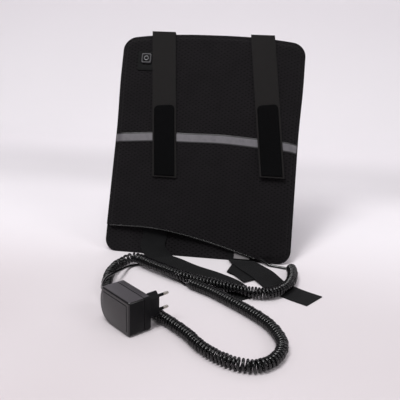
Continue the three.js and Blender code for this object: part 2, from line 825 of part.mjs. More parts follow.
function curlPath() {
  const axis = new THREE.CatmullRomCurve3(
    coilRoute.map(([x, y, under]) => new THREE.Vector3(x, y, under + floorGap + cordRadius)),
    false,
    'centripetal',
  );
  const total = curlCount * curlSteps;
  const centres = axis.getSpacedPoints(total);
  const upward = new THREE.Vector3(0, 0, 1);
  const points = centres.map((centre, k) => {
    const tangent = tangentAt(centres, k);
    const sideways = tangent.clone().cross(upward).normalize();
    const fromEnd = Math.min(k, total - k) / curlSteps;
    const reach = curlRadius * smoothstep(fromEnd, 0, curlRelaxTurns);
    const angle = Math.PI + (2 * Math.PI * k) / curlSteps;
    return centre.clone()
      .addScaledVector(upward, reach + reach * Math.cos(angle))
      .addScaledVector(sideways, reach * Math.sin(angle));
  });
  const entry = points[0].clone().sub(new THREE.Vector3(cordDiameter, 0, 0));
  const exit = points.at(-1).clone().addScaledVector(tangentAt(centres, total), cordDiameter);
  return [entry, ...points, exit];
}

function leastSelfGap(points) {
  let least = Infinity;
  const near = curlSteps / 2;
  for (let a = 0; a < points.length; a++) {
    for (let b = a + near; b < points.length - 1; b++) {
      const segment = new THREE.Line3(points[b], points[b + 1]);
      const closest = segment.closestPointToPoint(points[a], true, new THREE.Vector3());
      least = Math.min(least, closest.distanceTo(points[a]));
    }
  }
  return least - cordDiameter;
}

const curls = curlPath();
const glandX = lowerStrapMouthShares.right[0][0] * padWidth + strapWidth / 2 + glandStrapGap;
const glandTip = new THREE.Vector3(glandX + glandSpan, -glandTipForward, glandTipHeight);
const glandRoot = onPad(glandX, glandRise, pocketFloor + glandDiameter / 2);
const glandInner = glandRoot.clone().add(glandRoot).sub(glandTip);

function cordGland() {
  const rings = 6;
  const points = Array.from({ length: rings + 1 }, (_, k) => glandRoot.clone().lerp(glandTip, k / rings));
  const taper = (i) => lerp(glandDiameter, cordDiameter + 2 * clearance, i / rings) / 2;
  return tube(points, (i) => taper(i) * (i % 2 ? glandRibShare : 1), cordSides);
}

function freeCord(points, steps) {
  return tube(smoothPath(points, steps), () => cordRadius, cordSides);
}

function cordLead() {
  const out = glandTip.clone().sub(glandRoot).normalize();
  const start = glandTip.clone().addScaledVector(out, clearance);
  const end = curls[0].clone().sub(new THREE.Vector3(clearance, 0, 0));
  const run = end.clone().sub(new THREE.Vector3(cordDiameter, 0, 0));
  const outer = start.clone().addScaledVector(out, cordDiameter);
  const middle = outer.clone().lerp(run, 0.5).setZ(run.z);
  return freeCord([start, outer, middle, run, end], 16);
}

// Adapter's frame: x along the body to the plug end, y toward the pins, z up, from the front foot corner

const adapter = new THREE.Group();
adapter.position.set(adapterX, adapterY, floorGap);
adapter.rotation.z = adapterTurn;
adapter.updateMatrixWorld(true);

const fromFront = (geometry, depth) => geometry.rotateX(Math.PI / 2).translate(0, depth, 0);
const adapterDepth = adapterFrontDepth + clearance + adapterRearDepth;
const shellEdge = {
  bevelThickness: adapterEdgeRound,
  bevelSize: adapterEdgeRound,
  bevelOffset: -adapterEdgeRound,
  bevelSegments: 3,
  curveSegments: 8,
};

function bodyOutline(inset = 0, footRadius = adapterFootRadius, topRadius = adapterTopRadius) {
  const outline = new THREE.Shape();
  const [end, right, foot, top] = [inset - adapterLength, -inset, inset, adapterHeight - inset];
  outline.moveTo(end + adapterFootSweep, foot);
  outline.lineTo(right - footRadius, foot);
  outline.absarc(right - footRadius, foot + footRadius, footRadius, -Math.PI / 2, 0, false);
  outline.lineTo(right, top - topRadius);
  outline.absarc(right - topRadius, top - topRadius, topRadius, 0, Math.PI / 2, false);
  outline.lineTo(end + topRadius, top);
  outline.absarc(end + topRadius, top - topRadius, topRadius, Math.PI / 2, Math.PI, false);
  outline.bezierCurveTo(end - adapterBow, adapterBowHeight, end - adapterFootBow, foot, end + adapterFootSweep, foot);
  return outline;
}

const adapterReach = -Math.min(...bodyOutline().getPoints(shellEdge.curveSegments).map((point) => point.x));

function adapterFrontShell() {
  const shell = new THREE.ExtrudeGeometry(bodyOutline(), { depth: adapterFrontDepth, ...shellEdge });
  const outer = fromFront(shell, adapterFrontDepth);
  const rear = new THREE.BoxGeometry(3 * adapterLength, adapterDepth, 2 * adapterHeight)
    .translate(-adapterLength / 2, adapterFrontDepth + adapterDepth / 2, adapterHeight / 2);
  const hollow = fromFront(plate(roundedOutline(
    adapterWall - adapterLength,
    adapterWall,
    -adapterWall,
    adapterHeight - adapterWall,
    [adapterHollowRadius, adapterTopRadius, adapterTopRadius, adapterTopRadius],
  ), adapterFrontDepth, 4), adapterFrontDepth + adapterWall);
  return cut(join(cut(outer, rear), facePanel()), hollow);
}

function facePanel() {
  const corner = 2 * facePanelRise;
  const panel = new THREE.ExtrudeGeometry(bodyOutline(facePanelMargin, corner, corner), {
    depth: adapterEdgeRound,
    bevelThickness: facePanelRise,
    bevelSize: facePanelRise,
    bevelOffset: -facePanelRise,
    bevelSegments: 2,
    curveSegments: 8,
  });
  return fromFront(panel, 0);
}

function neckOutline() {
  const half = neckHeight / 2;
  const outline = new THREE.Shape();
  outline.moveTo(-neckWidth, plugHeight - half + neckChamfer);
  outline.lineTo(-neckWidth + neckChamfer, plugHeight - half);
  outline.lineTo(-neckChamfer, plugHeight - half);
  outline.lineTo(0, plugHeight - half + neckChamfer);
  outline.lineTo(0, plugHeight + half - neckChamfer);
  outline.lineTo(-neckChamfer, plugHeight + half);
  outline.lineTo(-neckWidth + neckChamfer, plugHeight + half);
  outline.lineTo(-neckWidth, plugHeight + half - neckChamfer);
  return outline;
}

function adapterRearShell() {
  const front = adapterFrontDepth + clearance;
  const rim = new THREE.ExtrudeGeometry(bodyOutline(), { depth: adapterDepth, ...shellEdge });
  const body = fromFront(rim, adapterDepth - adapterEdgeRound);
  const ahead = new THREE.BoxGeometry(3 * adapterLength, adapterDepth, 2 * adapterHeight)
    .translate(-adapterLength / 2, front - adapterDepth / 2, adapterHeight / 2);
  const neck = fromFront(plate(neckOutline(), neckLength + adapterRearDepth / 2), adapterDepth + neckLength);
  const bore = (up) => new THREE.CylinderGeometry(1, 1, adapterDepth + neckLength, 12)
    .scale(pinDiameter / 2 + clearance, 1, pinDiameter / 2 + clearance)
    .translate(-neckWidth / 2, adapterDepth, plugHeight + up);
  return cut(join(cut(body, ahead), neck, ...gripRows()), bore(pinSpacing / 2), bore(-pinSpacing / 2));
}

function gripRows() {
  const front = adapterFrontDepth + clearance;
  const back = adapterDepth - adapterEdgeRound;
  return Array.from({ length: gripRibs }, (_, k) => new THREE.BoxGeometry(gripRibWidth, back - front, 2 * gripRibRise)
    .translate(-adapterLength / 2 + (k - (gripRibs - 1) / 2) * gripRibPitch, (front + back) / 2, adapterHeight));
}

const pinFace = adapterDepth + neckLength;

function plugPin(up) {
  const core = pinCoreDiameter / 2;
  const tip = pinDiameter / 2;
  const sleeved = pinSleeveLength + 2 * clearance;
  const profile = [
    [0, -neckLength - pinRootDepth], [core, -neckLength - pinRootDepth], [core, sleeved], [tip, sleeved],
    [tip, pinLength - tip], [tip * Math.SQRT1_2, pinLength - tip * (1 - Math.SQRT1_2)], [0, pinLength],
  ].map(([r, y]) => new THREE.Vector2(r, y));
  return new THREE.LatheGeometry(profile, 12).translate(-neckWidth / 2, pinFace, plugHeight + up);
}

function pinSleeve(up) {
  const inner = pinCoreDiameter / 2 + clearance / 2;
  const outer = pinDiameter / 2;
  const profile = [
    [inner, -pinSleeveInset], [outer, -pinSleeveInset], [outer, clearance + pinSleeveLength],
    [inner, clearance + pinSleeveLength], [inner, -pinSleeveInset],
  ].map(([r, y]) => new THREE.Vector2(r, y));
  return new THREE.LatheGeometry(profile, 12).translate(-neckWidth / 2, pinFace, plugHeight + up);
}

function adapterBoard() {
  const width = adapterLength - 2 * adapterWall - adapterHollowRadius / 2;
  const middle = -adapterWall - clearance - width / 2;
  return new THREE.BoxGeometry(width, boardThickness, boardWidth)
    .translate(middle, adapterFrontDepth - boardThickness / 2 - clearance, adapterHeight / 2);
}

function adapterCore() {
  const back = adapterFrontDepth - boardThickness - 2 * clearance;
  const block = new THREE.BoxGeometry(coreLength, coreDepth, coreHeight);
  const bobbin = new THREE.BoxGeometry(coreLength / 2, coreDepth, bobbinHeight);
  return join(block, bobbin).translate(-adapterLength / 2, back - coreDepth / 2, adapterHeight / 2);
}

function adapterRelief() {
  const rings = 2 * reliefRibs;
  const taper = (i) => lerp(reliefDiameter, cordDiameter + 2 * clearance, i / rings) / 2;
  const points = Array.from({ length: rings + 1 }, (_, k) => new THREE.Vector3(
    -adapterReach - clearance - (reliefLength * k) / rings,
    adapterFrontDepth,
    reliefHeight,
  ));
  return tube(points, (i) => taper(i) * (i % 2 ? reliefRibShare : 1), cordSides);
}

function cordTail() {
  const out = tangentAt(curls, curls.length - 1);
  const start = curls.at(-1).clone().addScaledVector(out, 2 * clearance);
  const reach = adapterReach + 2 * clearance + reliefLength;
  const toWorld = (x) => new THREE.Vector3(x, adapterFrontDepth, reliefHeight).applyMatrix4(adapter.matrixWorld);
  const route = tailRoute.map((place) => new THREE.Vector3(...place));
  const points = [
    start, start.clone().addScaledVector(out, cordDiameter), ...route,
    toWorld(-reach - cordDiameter), toWorld(-reach),
  ];
  return freeCord(points, 40);
}

// Leads inside the sleeve

function innerLead() {
  const level = pocketFloor + carrierThickness + clearance + innerLeadDiameter / 2;
  const inward = glandRoot.clone().sub(glandTip).normalize();
  const toPad = pad.matrixWorld.clone().invert();
  const start = glandRoot.clone().addScaledVector(inward, 3 * clearance).applyMatrix4(toPad);
  const next = glandRoot.clone().addScaledVector(inward, 2 * innerLeadDiameter).applyMatrix4(toPad);
  const end = wireStart.x + cutoutLength + 4 * clearance;
  const points = [
    start,
    next,
    new THREE.Vector3(next.x + innerLeadDiameter, carrierFoot / 3, level),
    new THREE.Vector3(next.x + innerLeadDiameter, carrierFoot / 2, level),
    new THREE.Vector3(end + leadBend, carrierFoot, level),
    new THREE.Vector3(end + leadBend, wireStart.y - leadBend, level),
    new THREE.Vector3(end + leadBend / 2, wireStart.y, level),
    new THREE.Vector3(end, wireStart.y, level),
  ];
  return tube(smoothPath(points, 16), () => innerLeadDiameter / 2, 6);
}

function controlLead() {
  const level = pocketFloor + innerLeadDiameter / 2;
  const edge = carrierHalf + innerLeadDiameter + clearance;
  const over = carrierTop + innerLeadDiameter + 2 * clearance;
  const side = housingSide / 2 + backPlateOverlap;
  const points = [
    new THREE.Vector3(edge, carrierFoot + 3 * wireEdgeMargin, level),
    new THREE.Vector3(edge, over - wireEdgeMargin / 2, level),
    new THREE.Vector3(edge - wireEdgeMargin / 2, over, level),
    new THREE.Vector3(controllerX + side + wireEdgeMargin, over, level),
    new THREE.Vector3(controllerX + side / 2, over + innerLeadDiameter, level),
    new THREE.Vector3(controllerX, controllerY - side + innerLeadDiameter, level),
  ];
  return tube(points, () => innerLeadDiameter / 2, 6);
}

// Assembly

const fabric = finish(colours.mesh, 0.95);
const webbing = finish(colours.webbing, 0.85);
const hook = finish(colours.hook, 0.95);
const loop = finish(colours.loop, 0.95);
const glossCord = finish(colours.cord, 0.25);
const matteShell = finish(colours.matte, 0.5);
const metal = finish(colours.metal, 0.25, 1);
const rubber = finish(colours.sleeve, 0.5);

pad.add(
  part('back_panel', backPanel(), finish(colours.lining, 0.95)),
  part('front_panel', frontPanel(), fabric),
  part('hem_binding', hemBinding(), finish(colours.binding, 0.3)),
  part('reflective_band', reflectiveBand(), finish(colours.band, 0.35)),
  part('label_tab', labelTab(), finish(colours.tag, 0.7)),
  part('heating_carrier', carrier(), finish(colours.felt, 0.95)),
  part('heating_wire', heatingWire(), finish(colours.wire, 0.5)),
  part('thermal_cutout', thermalCutout(), finish(colours.capsule, 0.4)),
  part('inner_lead', innerLead(), rubber),
  part('control_lead', controlLead(), rubber),
  part('controller_patch', controllerPatch(), finish(colours.silicone, 0.6)),
  part('controller_housing', controllerHousing(), finish(colours.rim, 0.4)),
  part('controller_back_plate', controllerBackPlate(), matteShell),
  part('controller_board', controllerBoard(), finish(colours.board, 0.5)),
  part('button_switch', buttonSwitch(), metal),
  part('push_button', buttonCap(), finish(colours.silicone, 0.5)),
  part('button_light_ring', buttonRing(), finish(colours.ring, 0.3)),
);
for (const side of ['left', 'right']) {
  pad.add(
    part(`upper_strap_root_${side}`, strapRoot(side), webbing),
    part(`upper_strap_${side}`, upperStrap(side), webbing),
    part(`hook_patch_${side}`, hookPatch(side), hook),
  );
}

adapter.add(
  part('adapter_front_shell', adapterFrontShell(), finish(colours.gloss, 0.25)),
  part('adapter_rear_shell', adapterRearShell(), matteShell),
  part('adapter_board', adapterBoard(), finish(colours.board, 0.5)),
  part('adapter_transformer', adapterCore(), finish(colours.band, 0.5)),
  part('plug_pin_upper', plugPin(pinSpacing / 2), metal),
  part('plug_pin_lower', plugPin(-pinSpacing / 2), metal),
  part('pin_sleeve_upper', pinSleeve(pinSpacing / 2), rubber),
  part('pin_sleeve_lower', pinSleeve(-pinSpacing / 2), rubber),
  part('adapter_strain_relief', adapterRelief(), rubber),
);

const cordPieces = [
  part('cord_gland', cordGland(), rubber),
  part('cord_lead', cordLead(), glossCord),
  part('cord_coil', tube(curls, () => cordRadius, curlSides), glossCord),
  part('cord_tail', cordTail(), glossCord),
];

const lying = [
  part('lower_strap_left', lowerStrap('left'), loop),
  part('lower_strap_right', lowerStrap('right'), loop),
  part('folded_strap_tail', foldedTail(), loop),
];

console.log(`least gap of the curly cord to itself: ${leastSelfGap(curls).toFixed(2)} mm`);

// Origin: on the floor under the middle of the pad and its straps, the cord and adapter left out

const heatingPad = new THREE.Group();
heatingPad.add(pad, ...lying);
heatingPad.updateMatrixWorld(true);
const extent = new THREE.Box3().setFromObject(heatingPad, true);
heatingPad.add(adapter, ...cordPieces);
heatingPad.position.set(-(extent.min.x + extent.max.x) / 2, -(extent.min.y + extent.max.y) / 2, -extent.min.z);

export default heatingPad;
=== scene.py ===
"""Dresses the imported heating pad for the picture: fabric, straps, controller, curly cord and power adapter.

It is laid out as a Blender add-on: sizes and colours are scene properties, each group of pieces has its
operator, and a panel in the sidebar lists them. Lengths in the tables below are in millimetres, in the pad's
own frame.
"""

import json
import math
import random

import bmesh
import bpy
import numpy as np
from bpy.props import FloatProperty, FloatVectorProperty, IntProperty, PointerProperty
from mathutils import Matrix, Vector


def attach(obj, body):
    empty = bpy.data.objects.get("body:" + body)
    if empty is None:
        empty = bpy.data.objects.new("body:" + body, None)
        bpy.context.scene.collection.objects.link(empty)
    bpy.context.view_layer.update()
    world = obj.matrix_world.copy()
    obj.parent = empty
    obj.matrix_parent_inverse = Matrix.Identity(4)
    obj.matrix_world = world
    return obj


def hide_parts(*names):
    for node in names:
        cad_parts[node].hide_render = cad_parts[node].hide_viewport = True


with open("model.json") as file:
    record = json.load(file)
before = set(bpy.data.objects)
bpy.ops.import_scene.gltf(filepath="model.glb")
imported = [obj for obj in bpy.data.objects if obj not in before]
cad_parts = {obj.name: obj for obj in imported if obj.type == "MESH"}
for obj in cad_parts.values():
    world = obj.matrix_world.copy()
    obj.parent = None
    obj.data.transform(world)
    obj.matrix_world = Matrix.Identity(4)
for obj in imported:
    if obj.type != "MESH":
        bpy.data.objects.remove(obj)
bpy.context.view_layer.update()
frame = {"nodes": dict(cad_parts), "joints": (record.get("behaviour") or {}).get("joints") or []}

bl_info = {
    "name": "Heating Pad Dresser",
    "version": (1, 0, 0),
    "blender": (4, 5, 0),
    "location": "View3D > Sidebar > Heating Pad",
    "description": "Builds the visible pieces of a heating pad over its packed frame",
    "category": "Object",
}

MM = 0.001


# Colours


def linear(hex_colour):
    """Linear RGB of an sRGB colour written as a hex number."""
    channels = [((hex_colour >> shift) & 255) / 255 for shift in (16, 8, 0)]
    return tuple(c / 12.92 if c <= 0.04045 else ((c + 0.055) / 1.055) ** 2.4 for c in channels)


def colour_property(name, hex_colour, description):
    return FloatVectorProperty(
        name=name, description=description, subtype="COLOR", size=3, min=0, max=1, default=linear(hex_colour)
    )


def length_property(name, millimetres, description):
    return FloatProperty(
        name=name, description=description, unit="LENGTH", min=0, default=millimetres * MM
    )


class HeatingPadSizes(bpy.types.PropertyGroup):
    """Sizes that the visible pieces are built to, the same as the frame's"""

    pad_width: length_property("Pad width", 294, "Width of the flat sleeve")
    pad_height: length_property("Pad height", 362, "Height of the flat sleeve")
    corner_radius: length_property("Corner radius", 20, "Radius of the sleeve's corners")
    lean: FloatProperty(
        name="Lean",
        description="How far the pad leans back from upright",
        subtype="ANGLE",
        default=math.radians(26),
    )
    foot_sink: length_property(
        "Foot sink", 1.3, "How deep the sleeve's soft foot is pressed flat on the floor"
    )
    back_thickness: length_property("Back panel thickness", 4, "Thickness of the back panel's mesh")
    front_thickness: length_property("Front panel thickness", 4, "Thickness of the front panel's mesh")
    pocket_depth: length_property("Pocket depth", 3.6, "Room between the panels for the heating sheet")
    clearance: length_property("Clearance", 0.3, "Gap between pieces that lie on one another")
    strap_width: length_property("Strap width", 38.5, "Width of all straps, a 1.5 inch webbing")
    strap_thickness: length_property("Strap thickness", 1.4, "Thickness of the webbing")
    strap_length_left: length_property(
        "Left strap length", 243, "Left upper strap from the top edge to its end"
    )
    strap_length_right: length_property(
        "Right strap length", 235, "Right upper strap from the top edge to its end"
    )
    mesh_pitch_across: length_property(
        "Mesh hole pitch across", 9.7, "Distance across between holes of one row, as in the picture"
    )
    mesh_pitch_up: length_property(
        "Mesh hole pitch up", 6.1, "Distance up between holes of one column, as in the picture"
    )
    cord_diameter: length_property("Cord diameter", 3.8, "Diameter of the cord itself")
    curl_diameter: length_property("Curl diameter", 15.6, "Outer diameter of the cord's curls")
    curl_count: IntProperty(name="Curls", description="Number of curls along the cord", min=10, default=194)


class HeatingPadColours(bpy.types.PropertyGroup):
    """Surface colours, read from the photograph's own light"""

    mesh: colour_property("Mesh fabric", 0x171517, "Front panel's knitted mesh")
    lining: colour_property("Back panel mesh", 0x191719, "Back panel's knitted mesh")
    binding: colour_property("Hem binding", 0x0E0D0E, "Satin tape along the curved mouth")
    thread: colour_property("Sewing thread", 0x110F11, "Sleeve's thread; the straps' is three times as light")
    reflective: colour_property("Reflective tape", 0x636065, "Reflective tape across the front")
    # The label's colour is darkened below its own pale tone as painted shade of the mouth.
    label: colour_property("Bare label", 0x767274, "Bare woven label at the mouth")
    webbing: colour_property("Webbing", 0x181616, "Upper straps")
    hook: colour_property("Hook tape", 0x0B0B0D, "Hook tape on the upper straps")
    loop: colour_property("Loop tape", 0x141415, "Loop tape of the lower straps")
    silicone: colour_property("Silicone", 0x0E0E0F, "Controller's patch and button, cord mouldings")
    bezel: colour_property("Bezel", 0x464548, "Controller's bezel")
    ring: colour_property("Light ring", 0x5C5C60, "Unlit light ring on the button")
    cord: colour_property("Cord jacket", 0x050506, "Glossy jacket of the curly cord")
    gloss: colour_property("Polished shell", 0x141214, "Adapter's polished front cover")
    matte: colour_property("Eroded shell", 0x0B0B0E, "Adapter's spark-eroded rear cover and right end")
    # The satin top's colour is painted much lighter than the shell's other colours: a painted reflection of the
    # light above.
    satin: colour_property("Satin shell, lit top", 0x464347, "Adapter's satin top face")
    nickel: colour_property("Nickel plate", 0xC9C4BC, "Plug pins and the switch's can")
    # Floor and backdrop are one paper; the floor's darker colour is painted shade toward the front.
    floor: colour_property("Floor", 0xC6BBBE, "Paper under the pad")
    backdrop: colour_property("Backdrop", 0xEBE7EB, "Paper behind the pad")


def sizes():
    return bpy.context.scene.heating_pad_sizes


def colours():
    return bpy.context.scene.heating_pad_colours


def mm(name):
    """A size property in millimetres."""
    return getattr(sizes(), name) / MM


# The pad's frame: across, up along the leaning pad, and forward out of its front, from the middle of its foot

CROWN_BOW = 2.6
CROWN_POWER = 2.5
CROWN_LEVEL_SHARE = 0.28
TOP_FLARE = 2.8
TOP_FLARE_MARGIN = 60.0
HINGE_FORWARD = 13.9
STRAP_SHARE = {"left": -0.281, "right": 0.271}
BAND_HEIGHT = 189.0


def smooth_step(value, low, high):
    share = min(max((value - low) / (high - low), 0), 1)
    return share * share * (3 - 2 * share)


def crown_at(across):
    """How far the hung sleeve's top edge stands over its level; it droops at the corners."""
    return CROWN_BOW * (1 - (abs(across) / (CROWN_LEVEL_SHARE * mm("pad_width"))) ** CROWN_POWER)


def draped(across, up):
    """Where a place on the flat sleeve comes to lie on the hung one."""
    height = mm("pad_height")
    flare = TOP_FLARE * smooth_step(up, BAND_HEIGHT, height - TOP_FLARE_MARGIN)
    droop = crown_at(across) * smooth_step(up, height / 2, height)
    return across * (1 + flare / (mm("pad_width") / 2)), up + droop


def undraped(across, up):
    """The place on the flat sleeve that comes to lie at a place on the hung one."""
    flat, flat_up = across, up
    for _ in range(4):
        hung, hung_up = draped(flat, flat_up)
        flat, flat_up = flat + across - hung, flat_up + up - hung_up
    return flat, flat_up


def hinge_up():
    inner = min(abs(share) for share in STRAP_SHARE.values()) * mm("pad_width") - mm("strap_width") / 2
    return mm("pad_height") + crown_at(inner) + mm("strap_thickness") / 2 + mm("clearance")


def floor_origin():
    """Where the pad's own origin on the floor lies in the row frame, from the left strap's hinge."""
    joint = next(j for j in frame["joints"] if j["name"] == "strap_left_fold")
    hinge = Vector(joint["pos_m"])
    up = hinge_up() * MM
    forward = HINGE_FORWARD * MM
    lean = sizes().lean
    return hinge - Vector((
        STRAP_SHARE["left"] * sizes().pad_width,
        up * math.sin(lean) - forward * math.cos(lean),
        up * math.cos(lean) + forward * math.sin(lean) - sizes().foot_sink,
    ))


def pad_to_row():
    """Matrix from millimetres in the pad's leaning frame to the row frame in metres."""
    lean = sizes().lean
    turn = Matrix.Rotation(math.pi / 2 - lean, 4, "X")
    foot = Matrix.Translation(floor_origin() - Vector((0, 0, sizes().foot_sink)))
    return foot @ turn @ Matrix.Scale(MM, 4)


def floor_to_row():
    """Matrix from millimetres on the floor, in the pad's upright frame, to the row frame in metres."""
    return Matrix.Translation(floor_origin()) @ Matrix.Scale(MM, 4)


# Meshes


def mesh_object(name, points, faces, uvs=None, smooth_angle=40):
    """A mesh piece at the origin, in metres, with its UVs in metres of real surface."""
    mesh = bpy.data.meshes.new(name)
    mesh.from_pydata([tuple(p) for p in points], [], faces)
    mesh.validate()
    if uvs is not None:
        layer = mesh.uv_layers.new(name="surface")
        coordinates = np.array(uvs, float)
        corners = np.empty(len(mesh.loops), np.int32)
        mesh.loops.foreach_get("vertex_index", corners)
        layer.data.foreach_set("uv", coordinates[corners].ravel())
    mesh.polygons.foreach_set("use_smooth", [True] * len(mesh.polygons))
    mesh.set_sharp_from_angle(angle=math.radians(smooth_angle))
    obj = bpy.data.objects.new(name, mesh)
    bpy.context.scene.collection.objects.link(obj)
    recalculate(obj)
    return obj


def recalculate(obj):
    work = bmesh.new()
    work.from_mesh(obj.data)
    bmesh.ops.recalc_face_normals(work, faces=work.faces)
    work.to_mesh(obj.data)
    work.free()


def place(obj, matrix):
    obj.data.transform(matrix)
    obj.data.update()
    return obj


def dress(obj, material, body="pad", replaced=()):
    """Gives the piece its material and slot, and sets it on its body."""
    obj.data.materials.clear()
    obj.data.materials.append(material)
    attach(obj, body)
    if replaced:
        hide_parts(*replaced)
    return obj


def keep_node(node, material):
    """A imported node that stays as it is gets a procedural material."""
    obj = frame["nodes"][node]
    if not obj.material_slots:
        obj.data.materials.append(material)
    for slot in obj.material_slots:
        slot.material = material


def grid_solid(columns, rows, front, back, hole=None):
    """Points, faces and UVs of a closed sheet given its two faces as functions of column and row."""
    points = []
    uvs = []
    for face in (back, front):
        for i in range(columns):
            for j in range(rows):
                point, uv = face(i, j)
                points.append(point)
                uvs.append(uv)
    size = columns * rows

    def at(side, i, j):
        return side * size + i * rows + j

    faces = []
    for i in range(columns - 1):
        for j in range(rows - 1):
            if hole and hole(i, j):
                continue
            faces.append((at(1, i, j), at(1, i + 1, j), at(1, i + 1, j + 1), at(1, i, j + 1)))
            faces.append((at(0, i, j), at(0, i, j + 1), at(0, i + 1, j + 1), at(0, i + 1, j)))
        last = rows - 1
        faces.append((at(0, i, 0), at(0, i + 1, 0), at(1, i + 1, 0), at(1, i, 0)))
        faces.append((at(1, i, last), at(1, i + 1, last), at(0, i + 1, last), at(0, i, last)))
    last = columns - 1
    for j in range(rows - 1):
        faces.append((at(0, 0, j + 1), at(0, 0, j), at(1, 0, j), at(1, 0, j + 1)))
        faces.append((at(0, last, j), at(0, last, j + 1), at(1, last, j + 1), at(1, last, j)))
    return points, faces, uvs


def swept(points, section_at):
    """Points, faces and UVs of a closed section carried along a path; section_at gives a ring of offsets."""
    ring_size = len(section_at(0))
    vertices = []
    uvs = []
    run = 0
    for k, point in enumerate(points):
        if k:
            run += (point - points[k - 1]).length
        ring = section_at(k)
        round_ring = 0
        for s, offset in enumerate(ring):
            if s:
                round_ring += (offset - ring[s - 1]).length
            vertices.append(point + offset)
            uvs.append((round_ring * MM, run * MM))
    faces = []
    for k in range(len(points) - 1):
        for s in range(ring_size):
            a = k * ring_size + s
            b = k * ring_size + (s + 1) % ring_size
            faces.append((a, b, b + ring_size, a + ring_size))
    faces.append(tuple(reversed(range(ring_size))))
    last = (len(points) - 1) * ring_size
    faces.append(tuple(range(last, last + ring_size)))
    return vertices, faces, uvs


def tangents(points):
    return [
        (points[min(k + 1, len(points) - 1)] - points[max(k - 1, 0)]).normalized()
        for k in range(len(points))
    ]


def round_tube(points, radius_at, sides=16):
    """A round tube along a path, with a section that doesn't twist."""
    along = tangents(points)
    normal = Vector((0, 0, 1)) if abs(along[0].z) < 0.9 else Vector((1, 0, 0))
    frames = []
    for tangent in along:
        normal = (normal - tangent * normal.dot(tangent)).normalized()
        frames.append((normal.copy(), tangent.cross(normal)))

    def section(k):
        radius = radius_at(k)
        n, b = frames[k]
        angles = [2 * math.pi * s / sides for s in range(sides)]
        return [n * (radius * math.cos(a)) + b * (radius * math.sin(a)) for a in angles]

    return swept(points, section)


def band_section(width, thickness, steps=10):
    """Offsets (across, over) round a webbing's section: flat faces and blunt, slightly pointed edges."""
    half = width / 2
    edge = thickness / 2
    flat = half - edge * 0.6
    spread = [flat * (2 * k / steps - 1) for k in range(steps + 1)]
    upper = [(across, edge) for across in spread]
    lower = [(across, -edge) for across in reversed(spread)]
    return upper + [(half, 0.0)] + lower + [(-half, 0.0)]


def ribbon(points, across_at, section):
    """A webbing along a path: the section lies across the path, in the direction given at each point."""
    along = tangents(points)

    def ring(k):
        across = across_at(k).normalized()
        over = across.cross(along[k]).normalized()
        return [across * a + over * o for a, o in section]

    return swept(points, ring)


STITCH_SIDES = 6
STITCH_RINGS = 5


def stitch_run(points, outward, pitch=3.4, length=2.5, thickness=0.55, sink=0.12):
    """Points and faces of sewn stitches along a path: thread loops that arch outward from the surface."""
    vertices = []
    faces = []
    total = 0
    marks = [0]
    for k in range(1, len(points)):
        total += (points[k] - points[k - 1]).length
        marks.append(total)

    def along(distance):
        distance = min(max(distance, 0), total)
        k = min(int(np.searchsorted(marks, distance, side="right")), len(points) - 1)
        span = marks[k] - marks[k - 1] or 1
        return points[k - 1].lerp(points[k], (distance - marks[k - 1]) / span)

    sides, rings = STITCH_SIDES, STITCH_RINGS
    for stitch in range(int(total / pitch)):
        start = stitch * pitch + (pitch - length) / 2
        middles = [along(start + length * r / (rings - 1)) for r in range(rings)]
        side = (middles[-1] - middles[0]).normalized().cross(outward).normalized()
        base = len(vertices)
        for r, point in enumerate(middles):
            arch = math.sin(math.pi * r / (rings - 1))
            radius = thickness / 2 * (0.45 + 0.55 * arch)
            centre = point + outward * (thickness * 0.5 * arch - sink)
            for s in range(sides):
                angle = 2 * math.pi * s / sides
                off, out = radius * math.cos(angle), radius * math.sin(angle)
                vertices.append(centre + side * off + outward * out)
        for r in range(rings - 1):
            for s in range(sides):
                a = base + r * sides + s
                b = base + r * sides + (s + 1) % sides
                faces.append((a, b, b + sides, a + sides))
        faces.append(tuple(base + s for s in reversed(range(sides))))
        faces.append(tuple(base + (rings - 1) * sides + s for s in range(sides)))
    return vertices, faces


def joined(pieces):
    """One list of points and faces from several."""
    vertices = []
    faces = []
    for piece_vertices, piece_faces in pieces:
        base = len(vertices)
        vertices.extend(piece_vertices)
        faces.extend(tuple(base + v for v in face) for face in piece_faces)
    return vertices, faces


def quarter(steps):
    """Angles of a quarter turn, from 0 to a right angle."""
    return [0.5 * math.pi * k / steps for k in range(steps + 1)]


def rounded_outline(left, bottom, right, top, radius, inset=0.0, steps=8):
    """Points of a rounded rectangle moved inwards by inset, counterclockwise from its left foot."""
    sharpest = 0.02
    reach = max(radius - inset, sharpest)
    shift = max(radius, inset + sharpest)
    corners = [
        (left + shift, bottom + shift, math.pi),
        (right - shift, bottom + shift, 1.5 * math.pi),
        (right - shift, top - shift, 0),
        (left + shift, top - shift, 0.5 * math.pi),
    ]
    return [
        (x + reach * math.cos(start + angle), y + reach * math.sin(start + angle))
        for x, y, start in corners
        for angle in quarter(steps)
    ]


def loft(rings, capped=True):
    """Points and faces through rings that all have as many points."""
    size = len(rings[0])
    points = [Vector(p) for ring in rings for p in ring]
    faces = []
    for r in range(len(rings) - 1):
        for s in range(size):
            a = r * size + s
            b = r * size + (s + 1) % size
            faces.append((a, b, b + size, a + size))
    if capped:
        faces.append(tuple(reversed(range(size))))
        faces.append(tuple(range((len(rings) - 1) * size, len(rings) * size)))
    return points, faces


def at_level(outline, level):
    return [(x, y, level) for x, y in outline]


def rounded_plate(outline_at, low, high, edge_round, steps=5):
    """A plate between two levels whose edges are rounded; outline_at gives its outline for an inset."""
    rings = []
    for angle in quarter(steps):
        inset = edge_round * (1 - math.sin(angle))
        rings.append(at_level(outline_at(inset), low + edge_round * (1 - math.cos(angle))))
    for angle in quarter(steps):
        inset = edge_round * (1 - math.cos(angle))
        rings.append(at_level(outline_at(inset), high - edge_round * (1 - math.sin(angle))))
    return loft(rings)


